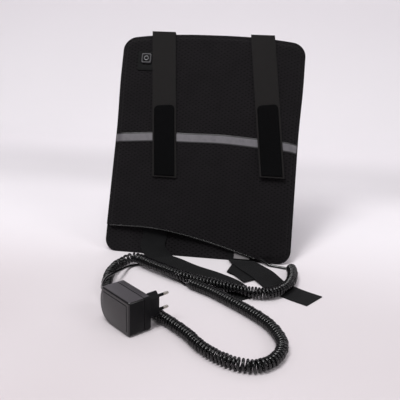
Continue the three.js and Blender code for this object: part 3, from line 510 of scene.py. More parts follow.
def frame_ring(outer_at, inner_at, low, high, edge_round, steps=4):
    """A closed ring between an outer and an inner outline, with a rounded top."""
    rings = [at_level(outer_at(0), low)]
    for angle in quarter(steps):
        inset = edge_round * (1 - math.cos(angle))
        rings.append(at_level(outer_at(inset), high - edge_round * (1 - math.sin(angle))))
    for angle in quarter(steps):
        inset = -edge_round * (1 - math.sin(angle))
        rings.append(at_level(inner_at(inset), high - edge_round * (1 - math.cos(angle))))
    rings.append(at_level(inner_at(0), low))
    rings.append(rings[0])
    return loft(rings, capped=False)


# Curves


def catmull_rom(points, share):
    """The point at a share of a centripetal Catmull-Rom curve through the points, the frame's way."""
    count = len(points)
    place_on = (count - 1) * share
    k = min(int(place_on), count - 2)
    weight = place_on - k
    p1, p2 = points[k], points[k + 1]
    p0 = points[k - 1] if k > 0 else p1 * 2 - p2
    p3 = points[k + 2] if k + 2 < count else p2 * 2 - p1
    d0 = max((p1 - p0).length_squared ** 0.25, 1e-4)
    d1 = max((p2 - p1).length_squared ** 0.25, 1e-4)
    d2 = max((p3 - p2).length_squared ** 0.25, 1e-4)
    t1 = ((p1 - p0) / d0 - (p2 - p0) / (d0 + d1) + (p2 - p1) / d1) * d1
    t2 = ((p2 - p1) / d1 - (p3 - p1) / (d1 + d2) + (p3 - p2) / d2) * d1
    c2 = p1 * -3 + p2 * 3 - t1 * 2 - t2
    c3 = p1 * 2 - p2 * 2 + t1 + t2
    return p1 + t1 * weight + c2 * weight ** 2 + c3 * weight ** 3


def spaced(points, steps, fine=40):
    """Points at equal steps along the centripetal curve through the given points."""
    dense = [catmull_rom(points, k / (fine * len(points))) for k in range(fine * len(points) + 1)]
    runs = np.cumsum([0] + [(b - a).length for a, b in zip(dense, dense[1:])])
    result = []
    for k in range(steps + 1):
        distance = runs[-1] * k / steps
        index = min(int(np.searchsorted(runs, distance, side="right")), len(dense) - 1)
        span = runs[index] - runs[index - 1] or 1
        result.append(dense[index - 1].lerp(dense[index], (distance - runs[index - 1]) / span))
    return result


def cloth_waves(count=7, steepest=0.06, seed=7):
    """Directions and phases of the waves that waviness adds up, the same in every run."""
    draw = random.Random(seed)
    return [
        (
            draw.uniform(-steepest, steepest),
            draw.uniform(-steepest, steepest),
            draw.uniform(0, 6.3) + 5.1 * (k + 1),
        )
        for k in range(count)
    ]


WAVES = cloth_waves()


def waviness(x, y):
    """A smooth, repeatable unevenness between about -1 and 1, for cloth that doesn't lie quite flat."""
    return sum(math.sin(x * fx + y * fy + phase) for fx, fy, phase in WAVES) / len(WAVES)


# Materials: sizes are real ones in millimetres. A pixel of the picture is about 1.5 mm wide, so a pattern
# that would vanish in it is drawn as coarse as it needs to show, as its comment says.


class Surface:
    """A Principled material under construction, made of named finishes"""

    def __init__(self, name, **settings):
        self.material = bpy.data.materials.new(name)
        self.material.use_nodes = True
        self.tree = self.material.node_tree
        self.shader = self.tree.nodes["Principled BSDF"]
        for socket, value in settings.items():
            self.set(socket, value)

    def set(self, name, value):
        self.fill(self.shader.inputs[name.replace("_", " ")], value)

    def fill(self, socket, value):
        """Links a socket, or gives it a number or a colour."""
        if isinstance(value, bpy.types.NodeSocket):
            self.tree.links.new(value, socket)
        else:
            socket.default_value = (*value, 1) if socket.type == "RGBA" else value

    def node(self, kind, *values, output=0, inputs=(), **settings):
        """Adds a node: values go to its first inputs in order, the others are named or numbered in inputs."""
        added = self.tree.nodes.new("ShaderNode" + kind)
        for name, value in settings.items():
            setattr(added, name, value)
        for key, value in [*enumerate(values), *dict(inputs).items()]:
            self.fill(added.inputs[key], value)
        return added.outputs[output]

    def directions(self):
        """Across and along the surface, in metres, from its UVs."""
        split = self.node("SeparateXYZ", self.node("UVMap", uv_map="surface")).node
        return split.outputs[0], split.outputs[1]

    def ribbing(self, direction, pitch):
        """Even ridges between -1 and 1 that repeat at a pitch in a direction."""
        turn = self.node("Math", direction, 2 * math.pi / (pitch * MM), operation="MULTIPLY")
        return self.node("Math", turn, operation="COSINE")

    def crossed(self, across, width, along, height):
        """Two ribbings multiplied: raised and sunk spots that alternate like a chequerboard's."""
        ribs = self.ribbing(across, width), self.ribbing(along, height)
        return self.node("Math", *ribs, operation="MULTIPLY")

    def grain(self, size, detail=3.0, roughness=0.55):
        """An uneven value between 0 and 1, in spots of about the given size."""
        spot = self.node("TexCoord", output="Object")
        inputs = {"Vector": spot, "Scale": 1 / (size * MM), "Detail": detail, "Roughness": roughness}
        return self.node("TexNoise", inputs=inputs)

    def shaded(self, value, low, high, first, second):
        """A colour that goes from the first to the second while a value goes from low to high."""
        share = self.node("MapRange", value, low, high, interpolation_type="SMOOTHSTEP")
        return self.node("Mix", output=2, inputs={0: share, 6: first, 7: second}, data_type="RGBA")

    def roughened(self, value, low, high, smooth, rough):
        """Makes the surface rougher while a value goes from low to high."""
        spread = self.node("MapRange", value, low, high, smooth, rough, interpolation_type="SMOOTHSTEP")
        self.set("Roughness", spread)

    def embossed(self, height, depth, strength=1.0, under=None):
        """Raises the surface by a value times a depth in millimetres, over what is already embossed."""
        inputs = {"Height": height, "Distance": depth * MM, "Strength": strength}
        if under is not None:
            inputs["Normal"] = under
        normal = self.node("Bump", inputs=inputs)
        self.set("Normal", normal)
        return normal


def shade(colour, factor):
    """A colour made darker or lighter."""
    return tuple(min(c * factor, 1) for c in colour)


# Polyester spacer mesh, knitted: dull near-black cloth with rows of small holes set like a diamond net, which
# are painted dark as painted shade inside them, and yarn painted lighter in specks as a painted highlight. The
# holes are as far apart as in the picture; the yarn's loops are real ones.
MESH_LOOP_WIDTH = 0.7
MESH_LOOP_HEIGHT = 1.0
MESH_YARN = 0.714
MESH_CLOUDS = 35.7


def mesh_fabric(name, colour):
    surface = Surface(name, Roughness=0.9, Sheen_Weight=0.03, Sheen_Roughness=0.5, Specular_IOR_Level=0.1)
    across, up = surface.directions()
    holes = surface.crossed(across, mm("mesh_pitch_across"), up, mm("mesh_pitch_up"))
    hole = surface.node("MapRange", holes, 0.35, 0.85, interpolation_type="SMOOTHSTEP")
    knit = surface.crossed(across, MESH_LOOP_WIDTH, up, MESH_LOOP_HEIGHT)
    clouds = surface.grain(MESH_CLOUDS, detail=4)
    yarn = surface.grain(MESH_YARN, detail=2)
    lit = surface.shaded(clouds, 0.3, 0.7, shade(colour, 0.86), shade(colour, 1.16))
    specked = surface.shaded(yarn, 0.35, 0.75, lit, shade(colour, 1.3))
    # Painted shade: the holes are painted a quarter as light as the cloth.
    holed_shade = {0: hole, 6: specked, 7: shade(colour, 0.25)}
    surface.set("Base_Color", surface.node("Mix", output=2, inputs=holed_shade, data_type="RGBA"))
    raised = surface.node("Math", knit, 0.16, operation="MULTIPLY")
    height = surface.node("Math", raised, hole, operation="SUBTRACT")
    under = surface.embossed(height, 0.55)
    surface.embossed(yarn, 0.08, 0.6, under)
    return surface.material


# Polyester webbing, woven: firm ribs run along the strap, crossed by staggered bars of weft, painted darker in
# the weave's hollows and lighter on its ribs as painted shade and highlight, and worn places shine a little more.
# Real ribs are about 0.8 mm apart and are drawn twice as coarse to show.
WEBBING_RIB = 1.6
WEBBING_BAR = 0.9
WEBBING_STAGGER = 0.18
WEBBING_WEAR = 16.7


def webbing_fabric(name, colour):
    surface = Surface(name, Roughness=0.7, Sheen_Weight=0.03, Sheen_Roughness=0.45, Specular_IOR_Level=0.18)
    across, along = surface.directions()
    ribs = surface.ribbing(across, WEBBING_RIB)
    shift = surface.node("Math", ribs, WEBBING_STAGGER * MM, operation="MULTIPLY")
    bars = surface.ribbing(surface.node("Math", along, shift, operation="ADD"), WEBBING_BAR)
    warp = surface.node("Math", ribs, 0.55, operation="MULTIPLY")
    weft = surface.node("Math", bars, 0.45, operation="MULTIPLY")
    weave = surface.node("Math", warp, weft, operation="ADD")
    wear = surface.grain(WEBBING_WEAR, detail=4)
    # Painted shade and highlight: the weave's hollows are painted darker and its ribs lighter.
    tone = surface.shaded(weave, -0.8, 0.9, shade(colour, 0.55), shade(colour, 1.2))
    surface.set("Base_Color", surface.shaded(wear, 0.35, 0.75, tone, shade(colour, 1.25)))
    surface.roughened(wear, 0.3, 0.7, 0.55, 0.72)
    surface.embossed(weave, 0.22, 0.9)
    return surface.material


# Nylon hook tape, woven with cut loops: a black bed that swallows light, painted darker as painted shade, with
# rows of stiff hooks whose tips alone are painted lighter as a painted highlight. Real hooks stand about as far
# apart.
HOOK_ROW = 1.3
HOOK_STEP = 1.5
HOOK_STAGGER = 0.4
HOOK_FUZZ = 1.11


def hook_fabric(name, colour):
    surface = Surface(name, Roughness=0.8, Specular_IOR_Level=0.05)
    across, along = surface.directions()
    rows = surface.ribbing(across, HOOK_ROW)
    shift = surface.node("Math", rows, HOOK_STAGGER * MM, operation="MULTIPLY")
    stems = surface.ribbing(surface.node("Math", along, shift, operation="ADD"), HOOK_STEP)
    hooks = surface.node("Math", rows, stems, operation="MULTIPLY")
    tips_and_highlight = surface.node("MapRange", hooks, 0.2, 0.9, interpolation_type="SMOOTHSTEP")
    fuzz = surface.grain(HOOK_FUZZ)
    # Painted highlight on the hooks' tips and painted shade in the bed between them.
    tipped_highlight = {0: tips_and_highlight, 6: shade(colour, 0.5), 7: shade(colour, 1.5)}
    surface.set("Base_Color", surface.node("Mix", output=2, inputs=tipped_highlight, data_type="RGBA"))
    surface.roughened(fuzz, 0.3, 0.7, 0.55, 0.85)
    under = surface.embossed(tips_and_highlight, 0.6, 0.9)
    surface.embossed(fuzz, 0.2, 0.7, under)
    return surface.material


# Nylon loop tape, knitted and brushed: a soft, matte nap in which the ground's rows only just show, with
# patches painted lighter where the nap leans another way, a painted sheen.
LOOP_GROUND_ACROSS = 1.1
LOOP_GROUND_ALONG = 1.4
LOOP_NAP = 1.43
LOOP_LEAN_SHEEN = 14.3


def loop_fabric(name, colour):
    surface = Surface(name, Roughness=0.9, Sheen_Weight=0.06, Sheen_Roughness=0.4, Specular_IOR_Level=0.12)
    across, along = surface.directions()
    ground = surface.crossed(across, LOOP_GROUND_ACROSS, along, LOOP_GROUND_ALONG)
    nap = surface.grain(LOOP_NAP, detail=5, roughness=0.7)
    lean = surface.grain(LOOP_LEAN_SHEEN)
    tone = surface.shaded(nap, 0.3, 0.7, shade(colour, 0.7), shade(colour, 1.35))
    # Painted sheen: patches of leaning nap are painted lighter.
    surface.set("Base_Color", surface.shaded(lean, 0.35, 0.7, tone, shade(colour, 1.2)))
    under = surface.embossed(ground, 0.15, 0.5)
    surface.embossed(nap, 0.4, 0.8, under)
    return surface.material


# Polyester fleece, needled: an even, matte tangle of fibres. Real fibres are far too fine to show; tufts
# are drawn.
FLEECE_TUFT = 1.67


def felt_fabric(name, colour):
    surface = Surface(name, Roughness=0.95, Sheen_Weight=0.3)
    fibres = surface.grain(FLEECE_TUFT, detail=6, roughness=0.8)
    surface.set("Base_Color", surface.shaded(fibres, 0.3, 0.7, shade(colour, 0.8), shade(colour, 1.2)))
    surface.embossed(fibres, 0.3, 0.8)
    return surface.material


# Polyester satin tape, woven and folded over the hem: it shines in a line that small creases break up, and the
# creases are painted lighter and darker as painted highlight and shade.
SATIN_GRAIN = 0.7
SATIN_CREASE_SHADING = 4.55


def satin_binding(name, colour):
    surface = Surface(name, Roughness=0.24, Specular_IOR_Level=0.5)
    grain = surface.ribbing(surface.directions()[1], SATIN_GRAIN)
    creases_and_shading = surface.grain(SATIN_CREASE_SHADING)
    # Painted highlight and shade: the creases make the colour lighter and darker.
    surface.set("Base_Color", surface.shaded(creases_and_shading, 0.3, 0.7, shade(colour, 0.8), shade(colour, 1.5)))
    surface.roughened(creases_and_shading, 0.3, 0.7, 0.2, 0.3)
    under = surface.embossed(grain, 0.06, 0.6)
    surface.embossed(creases_and_shading, 0.4, 0.6, under)
    return surface.material


# Reflective tape, glass beads on a woven carrier: grey and softly shining, a little scuffed, with dark
# woven edges that the seams run through. Real beads are 0.05 mm and are drawn as a grain of 0.4 mm.
TAPE_BEAD = 0.385
TAPE_SCUFF = 7.69
TAPE_FILM_HALF = (5.2, 6.0)


def reflective_fabric(name, colour):
    surface = Surface(name, Roughness=0.42, Specular_IOR_Level=0.5, Metallic=0.1)
    beads = surface.grain(TAPE_BEAD, detail=1)
    scuffs = surface.grain(TAPE_SCUFF, detail=5, roughness=0.7)
    off_middle = surface.node("Math", surface.directions()[0], operation="ABSOLUTE")
    film = surface.shaded(scuffs, 0.35, 0.75, shade(colour, 1.06), shade(colour, 0.82))
    inner, outer = (half * MM for half in TAPE_FILM_HALF)
    surface.set("Base_Color", surface.shaded(off_middle, inner, outer, film, shade(colour, 0.2)))
    surface.roughened(scuffs, 0.3, 0.8, 0.36, 0.6)
    surface.embossed(beads, 0.05, 0.6)
    return surface.material


# Polyester label tape, woven: pale, slightly glossy and creased, with creases painted lighter and darker as
# painted highlight and shade, and a weave that only just shows.
LABEL_WEAVE = 0.5
LABEL_CREASE_SHADING = 11.1


def label_fabric(name, colour):
    surface = Surface(name, Roughness=0.55, Specular_IOR_Level=0.5)
    weave = surface.grain(LABEL_WEAVE, detail=1)
    creases_and_shading = surface.grain(LABEL_CREASE_SHADING, detail=2)
    # Painted highlight and shade: the creases make the label's colour lighter and darker.
    surface.set("Base_Color", surface.shaded(creases_and_shading, 0.3, 0.7, shade(colour, 0.85), shade(colour, 1.1)))
    surface.embossed(weave, 0.06, 0.5)
    return surface.material


# Polyester sewing thread, twisted: short stitches with a broken, faint shine.
THREAD_TWIST = 0.333


def thread(name, colour):
    surface = Surface(name, Roughness=0.6, Sheen_Weight=0.05, Specular_IOR_Level=0.2)
    twist = surface.grain(THREAD_TWIST, detail=2)
    surface.set("Base_Color", surface.shaded(twist, 0.3, 0.7, shade(colour, 0.8), shade(colour, 1.5)))
    surface.embossed(twist, 0.05, 0.6)
    return surface.material


# Silicone rubber, moulded: matte and deep black, with a fine grain and a little dust that greys it in places.
SILICONE_GRAIN = 0.417
SILICONE_DUST = 6.67


def silicone(name, colour, roughness=0.5):
    surface = Surface(name, Roughness=roughness, Specular_IOR_Level=0.12)
    grain = surface.grain(SILICONE_GRAIN, detail=2)
    dust = surface.grain(SILICONE_DUST, detail=5)
    surface.set("Base_Color", surface.shaded(dust, 0.4, 0.8, colour, shade(colour, 1.5)))
    surface.roughened(dust, 0.3, 0.7, roughness - 0.06, roughness + 0.12)
    surface.embossed(grain, 0.04, 0.5)
    return surface.material


# Polycarbonate, moulded in a polished tool: clear dark reflections, dulled a little where it was handled.
POLISH_MARK = 22.2
POLISH_SCRATCH = 0.667


def polished_plastic(name, colour, roughness=0.16):
    surface = Surface(name, Roughness=roughness, Specular_IOR_Level=0.5, Coat_Weight=0.1, Coat_Roughness=0.1)
    marks = surface.grain(POLISH_MARK, detail=6, roughness=0.65)
    scratches = surface.grain(POLISH_SCRATCH, detail=2)
    surface.set("Base_Color", surface.shaded(marks, 0.35, 0.75, shade(colour, 0.92), shade(colour, 1.2)))
    surface.roughened(marks, 0.3, 0.75, roughness - 0.03, roughness + 0.12)
    surface.embossed(scratches, 0.01, 0.4)
    return surface.material


# Polycarbonate, moulded in a spark-eroded tool: an even matte skin with a fine grain, smoother where it is
# rubbed.
EROSION_GRAIN = 0.556
EROSION_RUB = 16.7


def eroded_plastic(name, colour, roughness=0.48):
    surface = Surface(name, Roughness=roughness, Specular_IOR_Level=0.18)
    grain = surface.grain(EROSION_GRAIN, roughness=0.7)
    rubbed = surface.grain(EROSION_RUB, detail=4)
    surface.set("Base_Color", surface.shaded(rubbed, 0.4, 0.8, shade(colour, 0.92), shade(colour, 1.2)))
    surface.roughened(rubbed, 0.3, 0.7, roughness - 0.08, roughness + 0.1)
    surface.embossed(grain, 0.07, 0.7)
    return surface.material


# Polyurethane cord jacket, extruded: wet-looking black whose small bright glints run along the curls, with a
# slight unevenness that breaks them and dust that dulls a few.
JACKET_UNEVEN = 2.38
JACKET_DUST = 11.1


def cord_jacket(name, colour, roughness=0.1):
    surface = Surface(name, Roughness=roughness, Specular_IOR_Level=0.5)
    uneven = surface.grain(JACKET_UNEVEN)
    dust = surface.grain(JACKET_DUST, detail=5)
    surface.set("Base_Color", surface.shaded(dust, 0.4, 0.8, colour, shade(colour, 1.6)))
    surface.roughened(dust, 0.35, 0.75, roughness - 0.03, roughness + 0.06)
    surface.embossed(uneven, 0.1, 0.12)
    return surface.material


# Nickel on brass or steel, drawn and plated: warm pale metal with fine drawing marks and duller spots.
PLATE_MARK = 1.11
PLATE_DULL = 5.0


def plated_metal(name, colour, roughness=0.24):
    surface = Surface(name, Metallic=1.0, Roughness=roughness)
    marks = surface.grain(PLATE_MARK)
    dull = surface.grain(PLATE_DULL, detail=4)
    surface.set("Base_Color", surface.shaded(dull, 0.35, 0.75, colour, shade(colour, 0.8)))
    surface.roughened(dull, 0.3, 0.7, roughness - 0.06, roughness + 0.14)
    surface.embossed(marks, 0.02, 0.5)
    return surface.material


# Glass-fibre board under solder resist: a smooth green skin with slightly raised, lighter tracks about 2 mm
# wide.
BOARD_TRACK = 2.0


def circuit_board(name, colour):
    surface = Surface(name, Roughness=0.4)
    tracks = surface.grain(BOARD_TRACK, detail=1)
    surface.set("Base_Color", surface.shaded(tracks, 0.48, 0.52, shade(colour, 0.8), shade(colour, 1.3)))
    surface.embossed(tracks, 0.04, 0.4)
    return surface.material


# Studio paper, uncoated: an even, matte pale ground, painted with light and shade: darker toward the front,
# lighter farther back and up the wall, darker in a band where it starts to rise, and it drifts in tone over about
# a metre. Its tooth is drawn at 1.1 mm. Depths are in metres from the frame's origin.
PAPER_TOOTH = 1.11
PAPER_DRIFT = 833.0
PAPER_NEAR_SHADE = (-0.3, 0.18)
PAPER_SHADE_BAND = (0.27, 0.44)
PAPER_WALL = (0.5, 0.75)


def studio_paper(name, near_shade_colour, far_colour):
    surface = Surface(name, Roughness=0.9, Specular_IOR_Level=0.2)
    tooth = surface.grain(PAPER_TOOTH)
    drift = surface.grain(PAPER_DRIFT, detail=2)
    depth = surface.node("SeparateXYZ", surface.node("TexCoord", output="Object"), output=1)
    # Painted light and shade by depth: the near floor darker, the far floor and wall lighter, a darker band in
    # the bend.
    far = shade(far_colour, 1.06)
    floor = surface.shaded(depth, *PAPER_NEAR_SHADE, near_shade_colour, far)
    hollow_shade = surface.shaded(depth, *PAPER_SHADE_BAND, floor, shade(far_colour, 0.84))
    wall = surface.shaded(depth, *PAPER_WALL, hollow_shade, far)
    half_far = surface.node("Mix", output=2, inputs={0: 0.5, 6: wall, 7: far_colour}, data_type="RGBA")
    surface.set("Base_Color", surface.shaded(drift, 0.3, 0.7, wall, half_far))
    surface.embossed(tooth, 0.05, 0.3)
    return surface.material


# Camera, lights and stage

CAMERA_PLACE = (132.3, -920.1, 396.0)
CAMERA_PITCH = math.radians(18)
CAMERA_YAW = math.radians(7.9)
CAMERA_ROLL = math.radians(1.5)
CAMERA_FOCAL_SHARE = 640 / 400
SENSOR = 36.0
# Lamps: name, place and aim in metres from the pad's foot, width of the square in metres, watts
LAMPS = [
    ("key_light", (-0.7, -1.1, 2.4), (0.1, 0.1, 0.1), 0.8, 31),
    ("fill_light", (1.9, -0.9, 1.5), (0.0, 0.0, 0.1), 0.95, 9),
    ("top_light", (0.0, -0.4, 2.6), (0.0, 0.0, 0.0), 1.1, 19),
    ("glint_light", (-0.5, -1.0, 1.9), (0.0, -0.2, 0.0), 0.3, 3),
]
ROOM_COLOUR = (0.94, 0.93, 0.95, 1)
ROOM_STRENGTH = 0.27
# The paper, in metres: half its width, where its flat part starts, has vertices and ends, and its bend and
# heights
PAPER_HALF_WIDTH = 2.6
PAPER_FLOOR_STATIONS = (-2.4, -0.6, 0.2, 0.75)
PAPER_BEND_RADIUS = 0.35
PAPER_BEND_STEPS = 16
PAPER_WALL_HEIGHTS = (1.2, 2.6)


class HEATINGPAD_OT_stage(bpy.types.Operator):
    """Sets up the camera, the soft lights and the paper floor and backdrop"""

    bl_idname = "heating_pad.stage"
    bl_label = "Camera, lights and stage"

    def execute(self, context):
        scene = context.scene
        data = bpy.data.cameras.new("camera")
        data.sensor_fit = "HORIZONTAL"
        data.sensor_width = SENSOR
        data.lens = SENSOR * CAMERA_FOCAL_SHARE
        camera = bpy.data.objects.new("camera", data)
        scene.collection.objects.link(camera)
        turn = (
            Matrix.Rotation(CAMERA_YAW, 4, "Z")
            @ Matrix.Rotation(math.pi / 2 - CAMERA_PITCH, 4, "X")
            @ Matrix.Rotation(CAMERA_ROLL, 4, "Z")
        )
        camera.matrix_world = Matrix.Translation(floor_to_row() @ Vector(CAMERA_PLACE)) @ turn
        scene.camera = camera
        scene.view_settings.view_transform = "Standard"
        scene.view_settings.look = "None"

        self.paper()
        for lamp in LAMPS:
            self.light(scene, *lamp)
        world = bpy.data.worlds.new("studio")
        world.use_nodes = True
        background = world.node_tree.nodes["Background"]
        background.inputs["Color"].default_value = ROOM_COLOUR
        background.inputs["Strength"].default_value = ROOM_STRENGTH
        scene.world = world
        return {"FINISHED"}

    def light(self, scene, name, place_at, look_at, size, power):
        data = bpy.data.lights.new(name, "AREA")
        data.size = size
        data.energy = power
        lamp = bpy.data.objects.new(name, data)
        scene.collection.objects.link(lamp)
        lamp.location = floor_origin() + Vector(place_at)
        lamp.rotation_euler = (Vector(look_at) - Vector(place_at)).to_track_quat("-Z", "Y").to_euler()

    def paper(self):
        """A floor that sweeps up into a wall behind the pad."""
        origin = floor_origin()
        bend, radius = PAPER_FLOOR_STATIONS[-1], PAPER_BEND_RADIUS
        profile = [(y, 0.0) for y in PAPER_FLOOR_STATIONS]
        profile += [
            (bend + radius * math.sin(angle), radius * (1 - math.cos(angle)))
            for angle in quarter(PAPER_BEND_STEPS)[1:]
        ]
        profile += [(bend + radius, height) for height in PAPER_WALL_HEIGHTS]
        points = []
        for x in (-PAPER_HALF_WIDTH, PAPER_HALF_WIDTH):
            points += [Vector((origin.x + x, origin.y + y, z)) for y, z in profile]
        size = len(profile)
        faces = [(k, k + 1, size + k + 1, size + k) for k in range(size - 1)]
        paper = mesh_object("paper_sweep", points, faces, smooth_angle=80)
        paper.data.materials.append(studio_paper("studio_paper", colours().floor, colours().backdrop))


# Cord: places on the floor, in the pad's upright frame

FLOOR_GAP = 0.12
# What the coil lies on, over the floor: the webbing, or the cord's plain stretch on it
ON_STRAPS = 1.64
ON_CORD = 4.04
# Height of the plain cord's middle where it lies on the floor
ON_FLOOR = 2.02
COIL_ROUTE = [
    (147, -21.5, 0), (149.5, -37, 0), (151, -56, ON_STRAPS), (149.5, -79, ON_STRAPS), (141.3, -104, ON_STRAPS),
    (122, -124, ON_STRAPS), (101, -128, ON_STRAPS), (74, -121.5, ON_STRAPS), (50, -114, ON_STRAPS),
    (22.4, -106.7, ON_STRAPS), (-5.6, -98.3, ON_CORD), (-32.6, -82.3, ON_CORD), (-58.4, -66.3, ON_CORD),
    (-87.7, -49.4, ON_CORD), (-104, -65.1, 0), (-109.3, -95.8, 0), (-106, -126.4, 0), (-99.5, -150, 0),
    (-88, -165, 0), (-66, -176, 0), (-43, -190, 0), (-23, -205, 0), (-6, -219.5, 0), (12, -236, 0),
    (30, -254, 0), (46, -274, 0), (66.8, -291.9, 0), (90.5, -304.1, 0), (112.3, -306.1, 0),
    (128.6, -294.9, 0), (139.1, -274, 0), (140.8, -251.5, 0), (133, -227.1, 0), (119.8, -204.6, 0),
    (94.1, -177.5, 0), (67.5, -154, 0), (46.8, -136.5, 0), (33, -127, 0), (20, -119, 0), (3, -107, 0),
]
# The plain tail: it lies on the floor behind the coil, then climbs over it to the strain relief
TAIL_ROUTE = [
    (-8, -97, ON_FLOOR), (-19, -88, ON_FLOOR), (-30, -78, ON_FLOOR), (-43, -66, ON_FLOOR), (-60, -55, ON_FLOOR),
    (-76, -50.5, ON_FLOOR), (-85, -55.5, ON_FLOOR), (-91, -66, 4), (-94, -93, 11), (-98.4, -124.7, 17.9),
    (-103, -140, 18.6), (-103.5, -152, 18.6), (-102, -164, 18.7), (-99, -175, 20.4), (-95.5, -182.5, 22.2),
]
# Curls sit closer in some stretches than in others: places are shares of the coil, weights its curls per
# length
PITCH_SHARES = [
    (0, 1.08), (0.115, 1.06), (0.136, 1.02), (0.163, 0.97), (0.187, 0.97), (0.222, 0.98),
    (0.31, 0.94), (0.338, 0.86), (0.361, 0.76), (0.4, 0.7), (0.44, 0.76), (0.467, 0.95), (0.593, 1), (0.64, 0.98),
    (0.667, 0.95), (0.735, 0.94), (0.78, 0.96), (0.831, 1), (0.868, 1.06), (0.903, 1.08), (1, 1.08),
]

# How far the curls grow from and shrink to the plain cord, and how uneven they are
CURL_RELAX_TURNS = 2.5
CURL_SWELL = 0.035
CURL_SWAY = 0.25

GLAND_STRAP_GAP = 6.3
GLAND_SPAN = 14.1
GLAND_TIP_FORWARD = 12.6
GLAND_TIP_HEIGHT = 3.6
GLAND_RISE = 7.0
GLAND_DIAMETER = 5.6
GLAND_RINGS = 24
CORD_BORE_GAP = 0.3
CORD_STEP_OUT = 4.0
LEAD_STEPS = 22
TAIL_STEPS = 70

# Adapter: its outline lies in the plane of its front, from its right end at 0 to its bowed left end
ADAPTER_PLACE = (-38, -260)
ADAPTER_TURN = math.radians(-41.2)
ADAPTER_LENGTH = 61.0
ADAPTER_HEIGHT = 46.0
ADAPTER_FRONT_DEPTH = 19.5
ADAPTER_REAR_DEPTH = 10.7
ADAPTER_BOW = 8.0
ADAPTER_BOW_HEIGHT = 26.0
ADAPTER_FOOT_BOW = 6.0
ADAPTER_FOOT_SWEEP = 21.0
ADAPTER_EDGE_ROUND = 2.8
FACE_PANEL_MARGIN = 5.0
FACE_PANEL_RISE = 0.8
RELIEF_LENGTH = 20.0
RELIEF_DIAMETER = 8.0
RELIEF_HEIGHT = 23.0
RELIEF_RINGS = 40
SHELL_GAP = 0.3


def adapter_to_row():
    """Matrix from millimetres in the adapter's frame to the row frame in metres."""
    spot = Matrix.Translation(Vector((*ADAPTER_PLACE, FLOOR_GAP)))
    return floor_to_row() @ spot @ Matrix.Rotation(ADAPTER_TURN, 4, "Z")


def body_outline(inset=0.0, foot_radius=5.0, top_radius=3.0, steps=8):
    """The adapter's front outline, counterclockwise: its left end bows out and sweeps in to the foot."""
    left, right, foot, top = inset - ADAPTER_LENGTH, -inset, inset, ADAPTER_HEIGHT - inset
    points = [(left + ADAPTER_FOOT_SWEEP, foot)]
    corners = [
        (right - foot_radius, foot + foot_radius, foot_radius, -0.5 * math.pi),
        (right - top_radius, top - top_radius, top_radius, 0),
        (left + top_radius, top - top_radius, top_radius, 0.5 * math.pi),
    ]
    for x, y, radius, start in corners:
        for angle in quarter(steps):
            points.append((x + radius * math.cos(start + angle), y + radius * math.sin(start + angle)))
    bow, foot_bow = (left - ADAPTER_BOW, ADAPTER_BOW_HEIGHT), (left - ADAPTER_FOOT_BOW, foot)
    control = [points[-1], bow, foot_bow, points[0]]
    for k in range(1, 3 * steps):
        t = k / (3 * steps)
        weights = ((1 - t) ** 3, 3 * t * (1 - t) ** 2, 3 * t * t * (1 - t), t ** 3)
        points.append(tuple(sum(w * p[axis] for w, p in zip(weights, control)) for axis in (0, 1)))
    return points


def drawn_in(points, inset):
    """A counterclockwise outline moved inwards, each point along the middle of its two edges' normals."""
    moved = []
    for k, (x, y) in enumerate(points):
        before = Vector((x, y)) - Vector(points[k - 1])
        after = Vector(points[(k + 1) % len(points)]) - Vector((x, y))
        first = Vector((-before.y, before.x)).normalized()
        second = Vector((-after.y, after.x)).normalized()
        shift = (first + second) * (inset / (1 + first.dot(second)))
        moved.append((x + shift.x, y + shift.y))
    return moved


def adapter_reach():
    """How far the adapter's bowed left end lies from its right one."""
    return -min(x for x, _ in body_outline())


def gland_across():
    """The cord gland's place beside the right lower strap."""
    strap = LOWER_STRAP_MOUTH_SHARES["right"][0][0] * mm("pad_width")
    return strap + mm("strap_width") / 2 + GLAND_STRAP_GAP


def gland_ends():
    """Root and tip of the cord gland, in the pad's upright frame."""
    across = gland_across()
    root = Vector((across, GLAND_RISE, mm("back_thickness") + mm("clearance") + GLAND_DIAMETER / 2))
    tip = Vector((across + GLAND_SPAN, -GLAND_TIP_FORWARD, GLAND_TIP_HEIGHT))
    return floor_to_row().inverted() @ pad_to_row() @ root, tip


def curl_phases(count, steps):
    """For each step of the coil, its share along the axis, closer where the coil is drawn together."""
    shares = np.linspace(0, 1, 2001)
    density = np.interp(shares, *zip(*PITCH_SHARES))
    turned = np.cumsum(density)
    turned = (turned - turned[0]) / (turned[-1] - turned[0])
    return [float(np.interp(k / (count * steps), turned, shares)) for k in range(count * steps + 1)]


